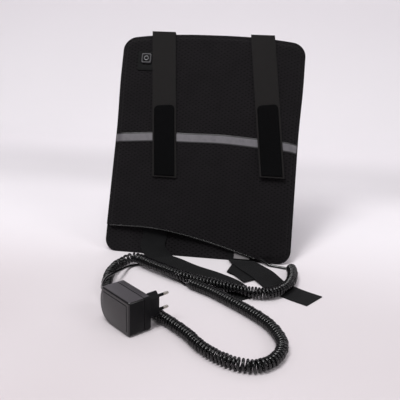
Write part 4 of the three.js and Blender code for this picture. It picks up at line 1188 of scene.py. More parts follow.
def curly_path(steps=14):
    """The curly cord's centreline, from its gland to the strain relief, in the pad's upright frame."""
    radius = mm("cord_diameter") / 2
    reach_full = (mm("curl_diameter") - mm("cord_diameter")) / 2
    count = sizes().curl_count
    axis = [Vector((x, y, under + FLOOR_GAP + radius)) for x, y, under in COIL_ROUTE]
    fine = 3000
    dense = spaced(axis, fine)
    total = count * steps
    curls = []
    for k, share in enumerate(curl_phases(count, steps)):
        index = min(int(share * fine), fine - 1)
        centre = dense[index].lerp(dense[index + 1], share * fine - index)
        tangent = (dense[min(index + 12, fine)] - dense[max(index - 12, 0)]).normalized()
        sideways = tangent.cross(Vector((0, 0, 1))).normalized()
        turns = k / steps
        relax = smooth_step(min(k, total - k) / steps, 0, CURL_RELAX_TURNS)
        reach = reach_full * relax * (1 + CURL_SWELL * math.sin(turns * 1.9) * math.sin(turns * 0.37))
        angle = math.pi + 2 * math.pi * k / steps
        sway = CURL_SWAY * math.sin(turns * 2.3)
        rise = Vector((0, 0, reach + reach * math.cos(angle)))
        curls.append(centre + rise + sideways * (reach * math.sin(angle) + sway * relax))
    root, tip = gland_ends()
    out = (tip - root).normalized()
    start = tip + out * CORD_BORE_GAP
    outer = start + out * CORD_STEP_OUT
    entry = curls[0] - Vector((mm("cord_diameter"), 0, 0))
    middle = outer.lerp(entry, 0.5)
    middle.z = entry.z
    lead = spaced([start, outer, middle, entry], LEAD_STEPS)
    to_floor = floor_to_row().inverted() @ adapter_to_row()
    reach = adapter_reach() + CORD_BORE_GAP + RELIEF_LENGTH
    ends = [
        to_floor @ Vector((-reach - extra, ADAPTER_FRONT_DEPTH, RELIEF_HEIGHT))
        for extra in (CORD_STEP_OUT, CORD_BORE_GAP)
    ]
    away = (curls[-1] - curls[-5]).normalized()
    tail = spaced([curls[-1] + away * 2] + [Vector(p) for p in TAIL_ROUTE] + ends, TAIL_STEPS)
    return lead + curls + tail


class HEATINGPAD_OT_cord(bpy.types.Operator):
    """Builds the curly cord, its gland and its strain relief"""

    bl_idname = "heating_pad.cord"
    bl_label = "Curly cord"

    def execute(self, context):
        to_row = floor_to_row()
        path = [to_row @ p for p in curly_path()]
        data = bpy.data.curves.new("curly_cord", "CURVE")
        data.dimensions = "3D"
        spline = data.splines.new("POLY")
        spline.points.add(len(path) - 1)
        for point, place_at in zip(spline.points, path):
            point.co = (*place_at, 1)
        data.bevel_depth = sizes().cord_diameter / 2
        data.bevel_resolution = 4
        data.use_fill_caps = True
        cord = bpy.data.objects.new("curly_cord", data)
        context.scene.collection.objects.link(cord)
        jacket = cord_jacket("glossy_polyurethane_jacket", colours().cord)
        dress(cord, jacket, replaced=("cord_lead", "cord_coil", "cord_tail"))

        tip_diameter = mm("cord_diameter") + 2 * CORD_BORE_GAP
        moulding = silicone("moulded_elastomer", colours().silicone, 0.42)
        root, tip = gland_ends()
        points = [root.lerp(tip, k / GLAND_RINGS) for k in range(GLAND_RINGS + 1)]

        def gland_radius(k):
            """A cone with a groove in every fourth part of it."""
            taper = GLAND_DIAMETER + (tip_diameter - GLAND_DIAMETER) * k / GLAND_RINGS
            return taper / 2 * (0.9 if k % 4 in (2, 3) and k > 4 else 1)

        gland = mesh_object("cord_gland_sleeve", *round_tube(points, gland_radius, 20), smooth_angle=30)
        dress(place(gland, to_row), moulding, replaced=("cord_gland",))

        start = -adapter_reach() - SHELL_GAP
        spread = [start - RELIEF_LENGTH * k / RELIEF_RINGS for k in range(RELIEF_RINGS + 1)]
        points = [Vector((x, ADAPTER_FRONT_DEPTH, RELIEF_HEIGHT)) for x in spread]

        def relief_radius(k):
            """A cone with a deep groove in every fifth part of it, plain at both ends."""
            taper = RELIEF_DIAMETER + (tip_diameter - RELIEF_DIAMETER) * k / RELIEF_RINGS
            return taper / 2 * (0.84 if k % 5 in (3, 4) and 3 < k < RELIEF_RINGS - 2 else 1)

        relief = mesh_object("adapter_relief_sleeve", *round_tube(points, relief_radius, 20), smooth_angle=30)
        dress(place(relief, adapter_to_row()), moulding, replaced=("adapter_strain_relief",))

        return {"FINISHED"}


# Sleeve

HEM_HEIGHT = 42.0
HEM_START_SHARE = -0.306
HEM_END_SHARE = 0.374
HEM_POWER = 1.6
MOUTH_LIFT = 5.0
MOUTH_CENTRE_SHARE = -0.2
MOUTH_REACH_SHARE = 0.3
MOUTH_FADE = 60.0
MOUTH_END_RUN = 14.0
SEAM_MARGIN = 2.5
SEAM_RISE = 9.0
EDGE_ROUND = 3.5
EDGE_THICKNESS = 1.5
STITCH_INSET = 7.0
# How the sewn cloth gives: a groove under the stitches, ripples all over, and puckers drawn toward the seam
SEAM_GROOVE = 0.55
SEAM_GROOVE_HALF = 1.3
BACK_GROOVE = 0.3
BACK_RIM_WIDTH = 1.6
BACK_RIM_DEPTH = 1.35
BACK_SINK = 0.12
CLOTH_RIPPLE = 0.18
CLOTH_RIPPLE_STRETCH = 2.2
SEAM_PUCKER = 0.16
SEAM_PUCKER_REACH = 5.0
CLOTH_SINK = 0.1
BAND_DROOP = {"left": 6.0, "right": 9.0}
BAND_ACROSS = [-7.75, -7.1, -6.3, -3, 0, 3, 6.3, 7.1, 7.75]
BAND_SEAM = 6.9
BAND_LIFT = 0.25
BAND_THICKNESS = 0.6
BINDING_STEPS = 160
BINDING_SIDES = 14
BINDING_RISE = 2.0
BINDING_HALF = 1.35
BINDING_DROP = 1.1
LABEL_WIDTH = 24.0
LABEL_LENGTH = 14.0
LABEL_STEPS = 12
LABEL_SHARE = 0.246
LABEL_TOP = 17.0
LABEL_TILT = math.radians(5)
LABEL_THICKNESS = 0.45
LABEL_CURL = 0.35


def edge_distance(across, up):
    """How far a point on the pad lies inside its rounded outline."""
    radius = mm("corner_radius")
    x = abs(across) - (mm("pad_width") / 2 - radius)
    y = abs(up - mm("pad_height") / 2) - (mm("pad_height") / 2 - radius)
    return radius - math.hypot(max(x, 0), max(y, 0)) - min(max(x, y), 0)


def corner_rise(across):
    """How far the outline's rounded corner lies in from its edge."""
    radius = mm("corner_radius")
    into = abs(across) - (mm("pad_width") / 2 - radius)
    return radius - math.sqrt(max(0, radius ** 2 - into ** 2)) if into > 0 else 0


def hem_line(across):
    """The front panel's curved lower edge."""
    start = HEM_START_SHARE * mm("pad_width")
    end = HEM_END_SHARE * mm("pad_width")
    along = min(max((across - start) / (end - start), 0), 1)
    return HEM_HEIGHT * (1 - along ** HEM_POWER)


def foot_line(across):
    """The front panel's lower edge with the pad's rounded corners."""
    return max(corner_rise(across), hem_line(across))


def crown_line(across):
    """The panels' upper edge with the pad's rounded corners."""
    return mm("pad_height") - corner_rise(across)


def mouth_lift(across, up):
    """How far the open mouth stands forward."""
    off = (across - MOUTH_CENTRE_SHARE * mm("pad_width")) / (MOUTH_REACH_SHARE * mm("pad_width"))
    swell = 0.5 + 0.5 * math.cos(math.pi * off) if abs(off) < 1 else 0
    return MOUTH_LIFT * swell * (1 - smooth_step(up - hem_line(across), 0, MOUTH_FADE))


def inner_face(across, up):
    """The front panel's level at its back: it rises from the seam over the heating sheet."""
    mouth_end = HEM_END_SHARE * mm("pad_width")
    open_share = 1 - smooth_step(across, mouth_end - MOUTH_END_RUN, mouth_end)
    unsewn = (SEAM_MARGIN + SEAM_RISE) * open_share if up < mm("pad_height") / 2 else 0
    rise = smooth_step(edge_distance(across, up + unsewn), SEAM_MARGIN, SEAM_MARGIN + SEAM_RISE)
    pocket = mm("back_thickness") + mm("clearance")
    return pocket + (mm("pocket_depth") - mm("clearance")) * rise + mouth_lift(across, up)


def outer_face(across, up):
    """The front panel's level at its front, rounded off toward its edge."""
    distance = edge_distance(across, up)
    reach = min(max(distance / EDGE_ROUND, 0), 1)
    fullness = math.sqrt(1 - (1 - reach) ** 2)
    thickness = EDGE_THICKNESS + (mm("front_thickness") - EDGE_THICKNESS) * fullness
    return inner_face(across, up) + thickness


def front_surface(across, up):
    """The visible front of the sleeve: the plain form, drawn in at its seam and a little uneven."""
    distance = edge_distance(across, up)
    off_seam = distance - STITCH_INSET
    groove = SEAM_GROOVE * math.exp(-(off_seam / SEAM_GROOVE_HALF) ** 2)
    wave = waviness(across * CLOTH_RIPPLE_STRETCH, up * CLOTH_RIPPLE_STRETCH)
    ripple = CLOTH_RIPPLE * wave * smooth_step(distance, 0, 30)
    pucker = SEAM_PUCKER * math.sin((across + up) * 0.55) * math.exp(-(off_seam / SEAM_PUCKER_REACH) ** 2)
    return outer_face(across, up) - groove + ripple + pucker - CLOTH_SINK


def band_back(across, up):
    """The level that the reflective band lies on."""
    return max(front_surface(across, up), outer_face(across, up) - 0.2)


def band_centre(across):
    """The reflective band's middle: it hangs lower at both ends and isn't sewn quite straight."""
    droop = BAND_DROOP["left" if across < 0 else "right"]
    return BAND_HEIGHT - droop * (across / (mm("pad_width") / 2)) ** 2 + 0.35 * math.sin(across * 0.06)


def lines(low, high, near, far, middle):
    """Positions from low to high: fixed offsets at each end and even steps between."""
    start = [low + offset for offset in near]
    end = [high - offset for offset in reversed(far)]
    gap = (end[0] - start[-1]) / middle
    return start + [start[-1] + gap * (k + 1) for k in range(middle - 1)] + end


# Places of the grid's lines near an edge, close together where the cloth is drawn in
EDGE_OFFSETS = [0, 0.5, 1.2, 2.2, 3.4, 4.8, 6, 7, 8, 9.5, 12, 15, 18, 22]


def controller_place():
    """The controller's middle, beside the left strap."""
    strap = STRAP_SHARE["left"] * mm("pad_width") + CONTROLLER_FROM_TOP * math.tan(STRAP_TILT["left"])
    across = strap - mm("strap_width") / 2 - CONTROLLER_STRAP_GAP - BEZEL_SIDE / 2
    return across, mm("pad_height") - CONTROLLER_FROM_TOP


class HEATINGPAD_OT_sleeve(bpy.types.Operator):
    """Builds the two mesh panels, their seams, the hem binding, the reflective band and the bare label"""

    bl_idname = "heating_pad.sleeve"
    bl_label = "Mesh sleeve"

    def execute(self, context):
        half = mm("pad_width") / 2
        columns = lines(-half, half, EDGE_OFFSETS, EDGE_OFFSETS, 90)
        self.front(columns)
        self.back(columns)
        self.binding()
        self.band()
        self.seams()
        self.label()
        return {"FINISHED"}

    def front(self, columns):
        """The front panel, with a square hole for the controller's housing."""
        across_hole, up_hole = controller_place()
        reach = HOUSING_SIDE / 2 + HOUSING_GAP
        across_hole, up_hole = undraped(across_hole, up_hole)
        columns = sorted(columns + [across_hole - reach, across_hole + reach])
        top = mm("pad_height")
        far = EDGE_OFFSETS[:-1] + [24, top - up_hole - reach, 42, top - up_hole + reach, 60]
        rows = [lines(foot_line(x), crown_line(x), EDGE_OFFSETS, far, 90) for x in columns]

        def face(surface):
            def at(i, j):
                x, up = columns[i], rows[i][j]
                return Vector((*draped(x, up), surface(x, up))), (x * MM, up * MM)
            return at

        def hole(i, j):
            x = (columns[i] + columns[i + 1]) / 2
            up = (rows[i][j] + rows[i][j + 1]) / 2
            return abs(x - across_hole) < reach and abs(up - up_hole) < reach

        built = grid_solid(len(columns), len(rows[0]), face(front_surface), face(inner_face), hole)
        panel = mesh_object("sleeve_front", *built, smooth_angle=70)
        fabric = mesh_fabric("knitted_spacer_mesh", colours().mesh)
        dress(place(panel, pad_to_row()), fabric, replaced=("front_panel",))

    def back(self, columns):
        """The back panel; where its foot would lean into the floor it is drawn up."""
        rows = [lines(corner_rise(x), crown_line(x), EDGE_OFFSETS, EDGE_OFFSETS, 90) for x in columns]
        full = mm("back_thickness")
        sink = sizes().foot_sink / MM / math.cos(sizes().lean)

        def rim(x, up):
            reach = min(max(edge_distance(x, up) / BACK_RIM_WIDTH, 0), 1)
            return BACK_RIM_DEPTH * (1 - math.sqrt(1 - (1 - reach) ** 2))

        def level(front):
            def at(i, j):
                x, up = columns[i], rows[i][j]
                off_seam = edge_distance(x, up) - STITCH_INSET
                groove = BACK_GROOVE * math.exp(-(off_seam / SEAM_GROOVE_HALF) ** 2)
                forward = full - rim(x, up) - BACK_SINK if front else rim(x, up) + groove
                lowest = sink - forward * math.tan(sizes().lean)
                hung, hung_up = draped(x, up)
                return Vector((hung, max(hung_up, lowest), forward)), (x * MM, up * MM)
            return at

        built = grid_solid(len(columns), len(rows[0]), level(True), level(False))
        panel = mesh_object("sleeve_back", *built, smooth_angle=70)
        fabric = mesh_fabric("knitted_spacer_mesh_back", colours().lining)
        dress(place(panel, pad_to_row()), fabric, replaced=("back_panel",))

    def binding(self):
        """The glossy tape along the mouth's hem, from the left seam to the cord's gland."""
        start = -mm("pad_width") / 2 + SEAM_MARGIN + 2.8
        end = gland_across() - GLAND_DIAMETER
        points = []
        for k in range(BINDING_STEPS + 1):
            x = start + (end - start) * k / BINDING_STEPS
            hem = foot_line(x)
            middle = (inner_face(x, hem) + outer_face(x, hem)) / 2
            points.append(Vector((x, hem - BINDING_DROP, middle)))
        along = tangents(points)
        over = Vector((0, 0, 1))

        def section(k):
            side = along[k].cross(over).normalized()
            crease = 1 + 0.07 * math.sin(k * 1.9) * math.sin(k * 0.53)
            rise, half = BINDING_RISE * crease, BINDING_HALF * crease
            angles = [2 * math.pi * s / BINDING_SIDES for s in range(BINDING_SIDES)]
            return [over * (rise * math.cos(a)) + side * (half * math.sin(a)) for a in angles]

        tape = mesh_object("hem_binding_tape", *swept(points, section), smooth_angle=60)
        satin = satin_binding("satin_binding_tape", colours().binding)
        dress(place(tape, pad_to_row()), satin, replaced=("hem_binding",))

    def band(self):
        reach = mm("pad_width") / 2 - 1.5
        columns = lines(-reach, reach, EDGE_OFFSETS[:8], EDGE_OFFSETS[:8], 70)
        last = len(BAND_ACROSS) - 1

        def face(over):
            def at(i, j):
                x, off = columns[i], BAND_ACROSS[j]
                up = band_centre(x) + off
                lift = BAND_LIFT + (over if 0 < j < last else over * 0.5)
                return Vector((x, up, band_back(x, up) + lift)), (off * MM, x * MM)
            return at

        built = grid_solid(len(columns), last + 1, face(BAND_THICKNESS), face(0.0))
        tape = mesh_object("reflective_tape_band", *built, smooth_angle=60)
        beads = reflective_fabric("glass_bead_reflective_tape", colours().reflective)
        dress(place(tape, pad_to_row()), beads, replaced=("reflective_band",))

    def seams(self):
        """Thread round the pad's edge and along both edges of the band."""
        outward = Vector((0, 0, 1))
        half = mm("pad_width") / 2 - STITCH_INSET
        radius = mm("corner_radius") - STITCH_INSET
        top = mm("pad_height") - STITCH_INSET
        outline = [Vector((-half, hem_line(-half) + 4, 0))]
        outline += [Vector((-half, up, 0)) for up in np.linspace(60, top - radius, 60)]

        def corner(centre_x, centre_up, start):
            """A quarter turn clockwise."""
            angles = [start - angle for angle in quarter(12)]
            return [
                Vector((centre_x + radius * math.cos(a), centre_up + radius * math.sin(a), 0)) for a in angles
            ]

        outline += corner(-half + radius, top - radius, math.pi)
        outline += corner(half - radius, top - radius, math.pi / 2)
        outline += [Vector((half, up, 0)) for up in np.linspace(top - radius - 2, STITCH_INSET + radius, 60)]
        outline += corner(half - radius, STITCH_INSET + radius, 0)
        outline += [Vector((HEM_END_SHARE * mm("pad_width") + 6, STITCH_INSET, 0))]
        for point in outline:
            point.z = front_surface(point.x, point.y) + 0.15
            point.x, point.y = draped(point.x, point.y)
        runs = [stitch_run(outline, outward)]
        reach = mm("pad_width") / 2 - 4
        for side in (-BAND_SEAM, BAND_SEAM):
            path = []
            for x in np.linspace(-reach, reach, 120):
                up = band_centre(x) + side
                path.append(Vector((x, up, band_back(x, up) + BAND_LIFT + BAND_THICKNESS)))
            runs.append(stitch_run(path, outward, pitch=2.9, length=2.2, thickness=0.35, sink=0.05))
        stitches = mesh_object("sleeve_stitching", *joined(runs), smooth_angle=70)
        dress(place(stitches, pad_to_row()), thread("polyester_thread", colours().thread))

    def label(self):
        """A bare tab that hangs over the right lower strap in the mouth, a little curled."""
        steps = LABEL_STEPS
        left = LABEL_SHARE * mm("pad_width") - LABEL_WIDTH / 2
        base = mm("back_thickness") + 3 * mm("clearance") + mm("strap_thickness")

        def face(over):
            def at(i, j):
                x = left + LABEL_WIDTH * i / steps
                run = LABEL_LENGTH * j / steps
                curl = LABEL_CURL * math.sin(math.pi * i / steps) * j / steps
                up = LABEL_TOP - run * math.cos(LABEL_TILT)
                return Vector((x, up, base + run * math.sin(LABEL_TILT) + over + curl)), (x * MM, up * MM)
            return at

        built = grid_solid(steps + 1, steps + 1, face(LABEL_THICKNESS), face(0.0))
        tab = mesh_object("bare_label_tab", *built, smooth_angle=50)
        tape = label_fabric("woven_label_tape", colours().label)
        dress(place(tab, pad_to_row()), tape, replaced=("label_tab",))


# Controller

CONTROLLER_FROM_TOP = 44.5
CONTROLLER_STRAP_GAP = 1.9
BEZEL_SIDE = 16.0
BEZEL_HEIGHT = 3.4
HOUSING_SIDE = 14.0
HOUSING_BORE = 11.6
PATCH_WIDTH = 29.0
PATCH_HEIGHT = 32.0
PATCH_DROP = 3.8
PATCH_BASE = 11.9
PATCH_THICKNESS = 1.0
PATCH_CORNER_ROUND = 2.5
BEZEL_BASE = 12.9
BEZEL_CORNER = 2.4
HOUSING_FOOT = 8.0
HOUSING_CORNER = 1.0
HOUSING_GAP = 0.3
BORE_CORNER = 1.6
BUTTON_TOP = 16.4
BUTTON_DEPTH = 3.2
BUTTON_RADIUS = 1.4
BUTTON_GAP = 0.3
RING_OUTER = 3.8
RING_INNER = 2.8


def centred(side, radius):
    """The outline of a rounded square about the controller's middle, for an inset."""
    def at(inset):
        return rounded_outline(-side / 2, -side / 2, side / 2, side / 2, radius, inset)
    return at


def circle(radius, sides=48):
    """The outline of a circle about the controller's middle, for an inset."""
    def at(inset):
        reach = radius - inset
        angles = [2 * math.pi * k / sides for k in range(sides)]
        return [(reach * math.cos(a), reach * math.sin(a)) for a in angles]
    return at


class HEATINGPAD_OT_controller(bpy.types.Operator):
    """Builds the controller's patch, bezel, button and light ring"""

    bl_idname = "heating_pad.controller"
    bl_label = "Push-button controller"

    def execute(self, context):
        across, up = controller_place()
        spot = pad_to_row() @ Matrix.Translation(Vector((across, up, 0)))
        rubber = silicone("matte_silicone", colours().silicone, 0.68)

        def patch_at(inset):
            low = -PATCH_HEIGHT / 2 - PATCH_DROP
            half = PATCH_WIDTH / 2
            return rounded_outline(-half, low, half, low + PATCH_HEIGHT, PATCH_CORNER_ROUND, inset)

        window = centred(HOUSING_SIDE + 2 * HOUSING_GAP, HOUSING_CORNER)
        built = frame_ring(patch_at, window, PATCH_BASE, PATCH_BASE + PATCH_THICKNESS, 0.4)
        patch = mesh_object("controller_rubber_patch", *built, smooth_angle=35)
        dress(place(patch, spot), rubber, replaced=("controller_patch",))

        bore = centred(HOUSING_BORE, BORE_CORNER)
        base = BEZEL_BASE + 0.3
        flange = frame_ring(centred(BEZEL_SIDE, BEZEL_CORNER), bore, base, base + BEZEL_HEIGHT, 0.7)
        sleeve = frame_ring(centred(HOUSING_SIDE, HOUSING_CORNER), bore, HOUSING_FOOT, base + 0.3, 0.1)
        bezel = mesh_object("controller_bezel", *joined([flange, sleeve]), smooth_angle=35)
        satin = eroded_plastic("satin_bezel_plastic", colours().bezel, 0.36)
        dress(place(bezel, spot), satin, replaced=("controller_housing",))

        outline = centred(HOUSING_BORE - 2 * BUTTON_GAP, BUTTON_RADIUS)
        built = rounded_plate(outline, BUTTON_TOP - BUTTON_DEPTH, BUTTON_TOP - 0.25, 0.45)
        cap = mesh_object("button_cap", *built, smooth_angle=35)
        dress(place(cap, spot), rubber, body="button", replaced=("push_button",))

        built = frame_ring(circle(RING_OUTER), circle(RING_INNER), BUTTON_TOP - 0.5, BUTTON_TOP + 0.15, 0.15)
        ring = mesh_object("button_ring_light", *built, smooth_angle=35)
        glow = polished_plastic("translucent_light_guide", colours().ring, 0.3)
        dress(place(ring, spot), glow, body="button", replaced=("button_light_ring",))

        keep_node("controller_back_plate", eroded_plastic("moulded_back_plate", colours().matte))
        keep_node("controller_board", circuit_board("solder_resist_board", linear(0x24523A)))
        keep_node("button_switch", plated_metal("stamped_switch_can", colours().nickel))
        return {"FINISHED"}


# Upper straps

STRAP_TILT = {"left": math.radians(5.5), "right": math.radians(7.6)}
STRAP_END_LIFT = {"left": 0.4, "right": 4.0}
STRAP_END_POWER = 7
STRAP_BACK_FACE = 13.2
STRAP_TOP_RADIUS = 2.4
STRAP_BACK_REACH = 38.0
# The box seam on a strap's root: how far below the hinge it ends and starts, and its distance from the
# strap's edges
ROOT_SEAM_FALL = (35.0, 9.0)
ROOT_SEAM_MARGIN = 3.0
PATCH_LENGTH = 116.0
PATCH_CORNER = 7.0
HOOK_WIDTH = 33.0
HOOK_END_MARGIN = 2.0
HOOK_GROUND = 0.35
HOOK_PILE = 0.95
HOOK_PILE_SPREAD = (-0.22, 0.1)
HOOK_SEAM_INSET = 1.3
STRAP_ROWS = 20
# Places across a strap as shares of its half width, close together at its thicker woven edges
STRAP_SHARES = [-0.98, -0.93, -0.85, -0.6, -0.3, 0, 0.3, 0.6, 0.85, 0.93, 0.98]
SELVEDGE_RISE = 0.22
SELVEDGE_WIDTH = 1.4
STRAP_STITCHES = {"pitch": 2.8, "length": 2.1, "thickness": 0.5}


def strap_length(side):
    return mm("strap_length_" + side)


def strap_track(side):
    """Places down a strap's middle: across, up, turn in the pad's plane, and lift off it."""
    length, tilt = strap_length(side), STRAP_TILT[side]
    track = []
    for row in range(STRAP_ROWS + 1):
        along = row / STRAP_ROWS
        track.append((
            STRAP_SHARE[side] * mm("pad_width") + along * length * math.sin(tilt),
            hinge_up() - along * length * math.cos(tilt),
            tilt * (1 - abs(2 * along - 1) ** STRAP_END_POWER),
            STRAP_END_LIFT[side] * along ** STRAP_END_POWER,
        ))
    return track


def strap_point(track, share, off, forward):
    """The point at a share of a strap's length, off its middle and forward of the pad."""
    at = min(max(share, 0), 1) * STRAP_ROWS
    row = min(int(at), STRAP_ROWS - 1)
    ends = []
    for across, up, angle, lift in track[row:row + 2]:
        ends.append(Vector((across + off * math.cos(angle), up + off * math.sin(angle), forward + lift)))
    return ends[0].lerp(ends[1], at - row)


class HEATINGPAD_OT_upper_straps(bpy.types.Operator):
    """Builds the two upper straps, their sewn roots and their hook patches"""

    bl_idname = "heating_pad.upper_straps"
    bl_label = "Upper straps"

    def execute(self, context):
        woven = webbing_fabric("woven_webbing", colours().webbing)
        hooks = hook_fabric("hook_tape", colours().hook)
        sewing = thread("strap_thread", shade(colours().thread, 3))
        for side in ("left", "right"):
            self.strap(side, woven)
            self.patch(side, hooks, sewing)
            self.root(side, woven, sewing)
        return {"FINISHED"}

    def strap(self, side, woven):
        track = strap_track(side)
        rows = 120
        half = mm("strap_width") / 2
        thick = mm("strap_thickness")
        last = len(STRAP_SHARES) - 1

        def face(over):
            def at(i, j):
                share = i / rows
                off = STRAP_SHARES[j] / STRAP_SHARES[-1] * half
                rim = SELVEDGE_RISE * math.exp(-((1 - abs(STRAP_SHARES[j])) * half / SELVEDGE_WIDTH) ** 2)
                edge = 0.35 if j in (0, last) else 0
                level = thick - edge + rim if over else edge
                point = strap_point(track, share, off, STRAP_BACK_FACE + level)
                return point, (off * MM, share * strap_length(side) * MM)
            return at

        built = grid_solid(rows + 1, last + 1, face(1), face(0))
        strap = mesh_object(f"webbing_{side}", *built, smooth_angle=50)
        dress(place(strap, pad_to_row()), woven, f"strap_{side}", (f"upper_strap_{side}",))

    def patch(self, side, hooks, sewing):
        track = strap_track(side)
        length = strap_length(side)
        end = 1 - HOOK_END_MARGIN / length
        start = end - PATCH_LENGTH / length
        level = STRAP_BACK_FACE + mm("strap_thickness") + mm("clearance")
        runs = [0, 0.12, 0.4, 0.9, 1.6, 2.6, 4.2, PATCH_CORNER]
        runs += [PATCH_CORNER + (PATCH_LENGTH - PATCH_CORNER) * k / 104 for k in range(1, 105)]
        rows, columns = len(runs) - 1, 31
        pile = random.Random(11 if side == "left" else 12)

        def half_at(run):
            """Half the patch's width at a distance from its rounded upper end."""
            into = max(0, PATCH_CORNER - run)
            return HOOK_WIDTH / 2 - PATCH_CORNER + math.sqrt(PATCH_CORNER ** 2 - into ** 2)

        def face(over):
            def at(i, j):
                run = runs[i]
                share = start + run / length
                off = half_at(run) * (2 * j / columns - 1)
                inside = min(min(run, PATCH_LENGTH - run, half_at(run) - abs(off)) / 1.2, 1)
                height = HOOK_GROUND + (HOOK_PILE + pile.uniform(*HOOK_PILE_SPREAD)) * inside if over else 0
                return strap_point(track, share, off, level + height), (off * MM, share * length * MM)
            return at

        built = grid_solid(rows + 1, columns + 1, face(1), face(0))
        patch = mesh_object(f"hook_tape_{side}", *built, smooth_angle=180)
        dress(place(patch, pad_to_row()), hooks, f"strap_{side}", (f"hook_patch_{side}",))

        edge = HOOK_SEAM_INSET
        marks = [max(edge, run) for run in runs[2:8]]
        marks += [PATCH_CORNER + (PATCH_LENGTH - edge - PATCH_CORNER) * k / 40 for k in range(1, 41)]
        down = [(run, half_at(run - edge * (run < PATCH_CORNER)) - edge) for run in marks]
        around = [(run, -half) for run, half in down] + [(run, half) for run, half in reversed(down)]
        around += around[:1]
        path = [strap_point(track, start + run / length, off, level + 0.75) for run, off in around]
        run = stitch_run(path, Vector((0, 0, 1)), **STRAP_STITCHES)
        stitches = mesh_object(f"hook_tape_stitching_{side}", *run, smooth_angle=70)
        dress(place(stitches, pad_to_row()), sewing, f"strap_{side}")

    def root(self, side, woven, sewing):
        """The strap's sewn end: up the back and over the top edge."""
        x = STRAP_SHARE[side] * mm("pad_width")
        hinge = hinge_up()
        half = mm("strap_thickness") / 2
        behind = -mm("clearance") - half
        bend = STRAP_TOP_RADIUS
        reach = STRAP_BACK_REACH
        points = [Vector((x, hinge - reach + (reach - bend) * k / 12, behind)) for k in range(12)]
        for angle in quarter(8):
            up = hinge - bend + bend * math.sin(angle)
            points.append(Vector((x, up, behind + bend - bend * math.cos(angle))))
        last = HINGE_FORWARD - half - mm("clearance")
        points += [Vector((x, hinge, behind + bend + (last - behind - bend) * k / 6)) for k in range(1, 7)]
        section = band_section(mm("strap_width"), mm("strap_thickness"))
        built = ribbon(points, lambda k: Vector((1, 0, 0)), section)
        root = mesh_object(f"webbing_root_{side}", *built, smooth_angle=50)
        dress(place(root, pad_to_row()), woven, replaced=(f"upper_strap_root_{side}",))

        level = behind - half - 0.1
        low, high = (hinge - fall for fall in ROOT_SEAM_FALL)
        reach = mm("strap_width") / 2 - ROOT_SEAM_MARGIN
        corners = [(-reach, low), (reach, low), (reach, high), (-reach, high), (-reach, low)]
        crosses = [((-reach, low), (reach, high)), ((reach, low), (-reach, high))]
        runs = []
        for start, end in [*zip(corners, corners[1:]), *crosses]:
            ends = [Vector((x + off, up, level)) for off, up in (start, end)]
            path = [ends[0].lerp(ends[1], k / 10) for k in range(11)]
            runs.append(stitch_run(path, Vector((0, 0, -1)), **STRAP_STITCHES))
        box = mesh_object(f"root_stitching_{side}", *joined(runs), smooth_angle=70)
        dress(place(box, pad_to_row()), sewing)


# Lower straps: places in the mouth are shares of the pad's width, those on the floor shares of the strap's.
# Then come the turn in degrees of the strap's width, and in the floor's tables which layer it lies in.

LOWER_STRAP_SHARES = {
    "left": [
        (-1.35, -0.44, 34, 1), (-0.7, -0.89, 58, 1), (0.03, -1.4, 65, 1),
        (0.96, -1.9, 60, 1), (1.711, -2.467, 46, 1), (2.283, -3.482, 40, 1),
    ],
    "right": [
        (1.93, -0.35, 6, 3), (2.237, -0.764, 24, 3), (2.803, -1.451, 38, 3), (3.375, -2.184, 45, 1),
        (4.024, -2.726, 52, 1), (4.727, -3.146, 56, 1),
    ],
}
LOWER_STRAP_MOUTH_SHARES = {
    "left": [(-0.228, 0.094, 0), (-0.232, 0.04, 4)],
    "right": [(0.246, 0.07, 0), (0.243, 0.005, 0)],
}
FOLDED_TAIL_SHARES = [
    (2.13, -1.19, 66, 1), (1.71, -0.96, 74, 1), (1.51, -0.82, 80, 1.5), (1.55, -0.84, 80, 2),
    (1.92, -1.14, 68, 2), (2.52, -1.82, 42, 2),
]
MOUTH_RISE = {"left": 2.0, "right": 0.2}
LOWER_STRAP_ROOT = 56.0


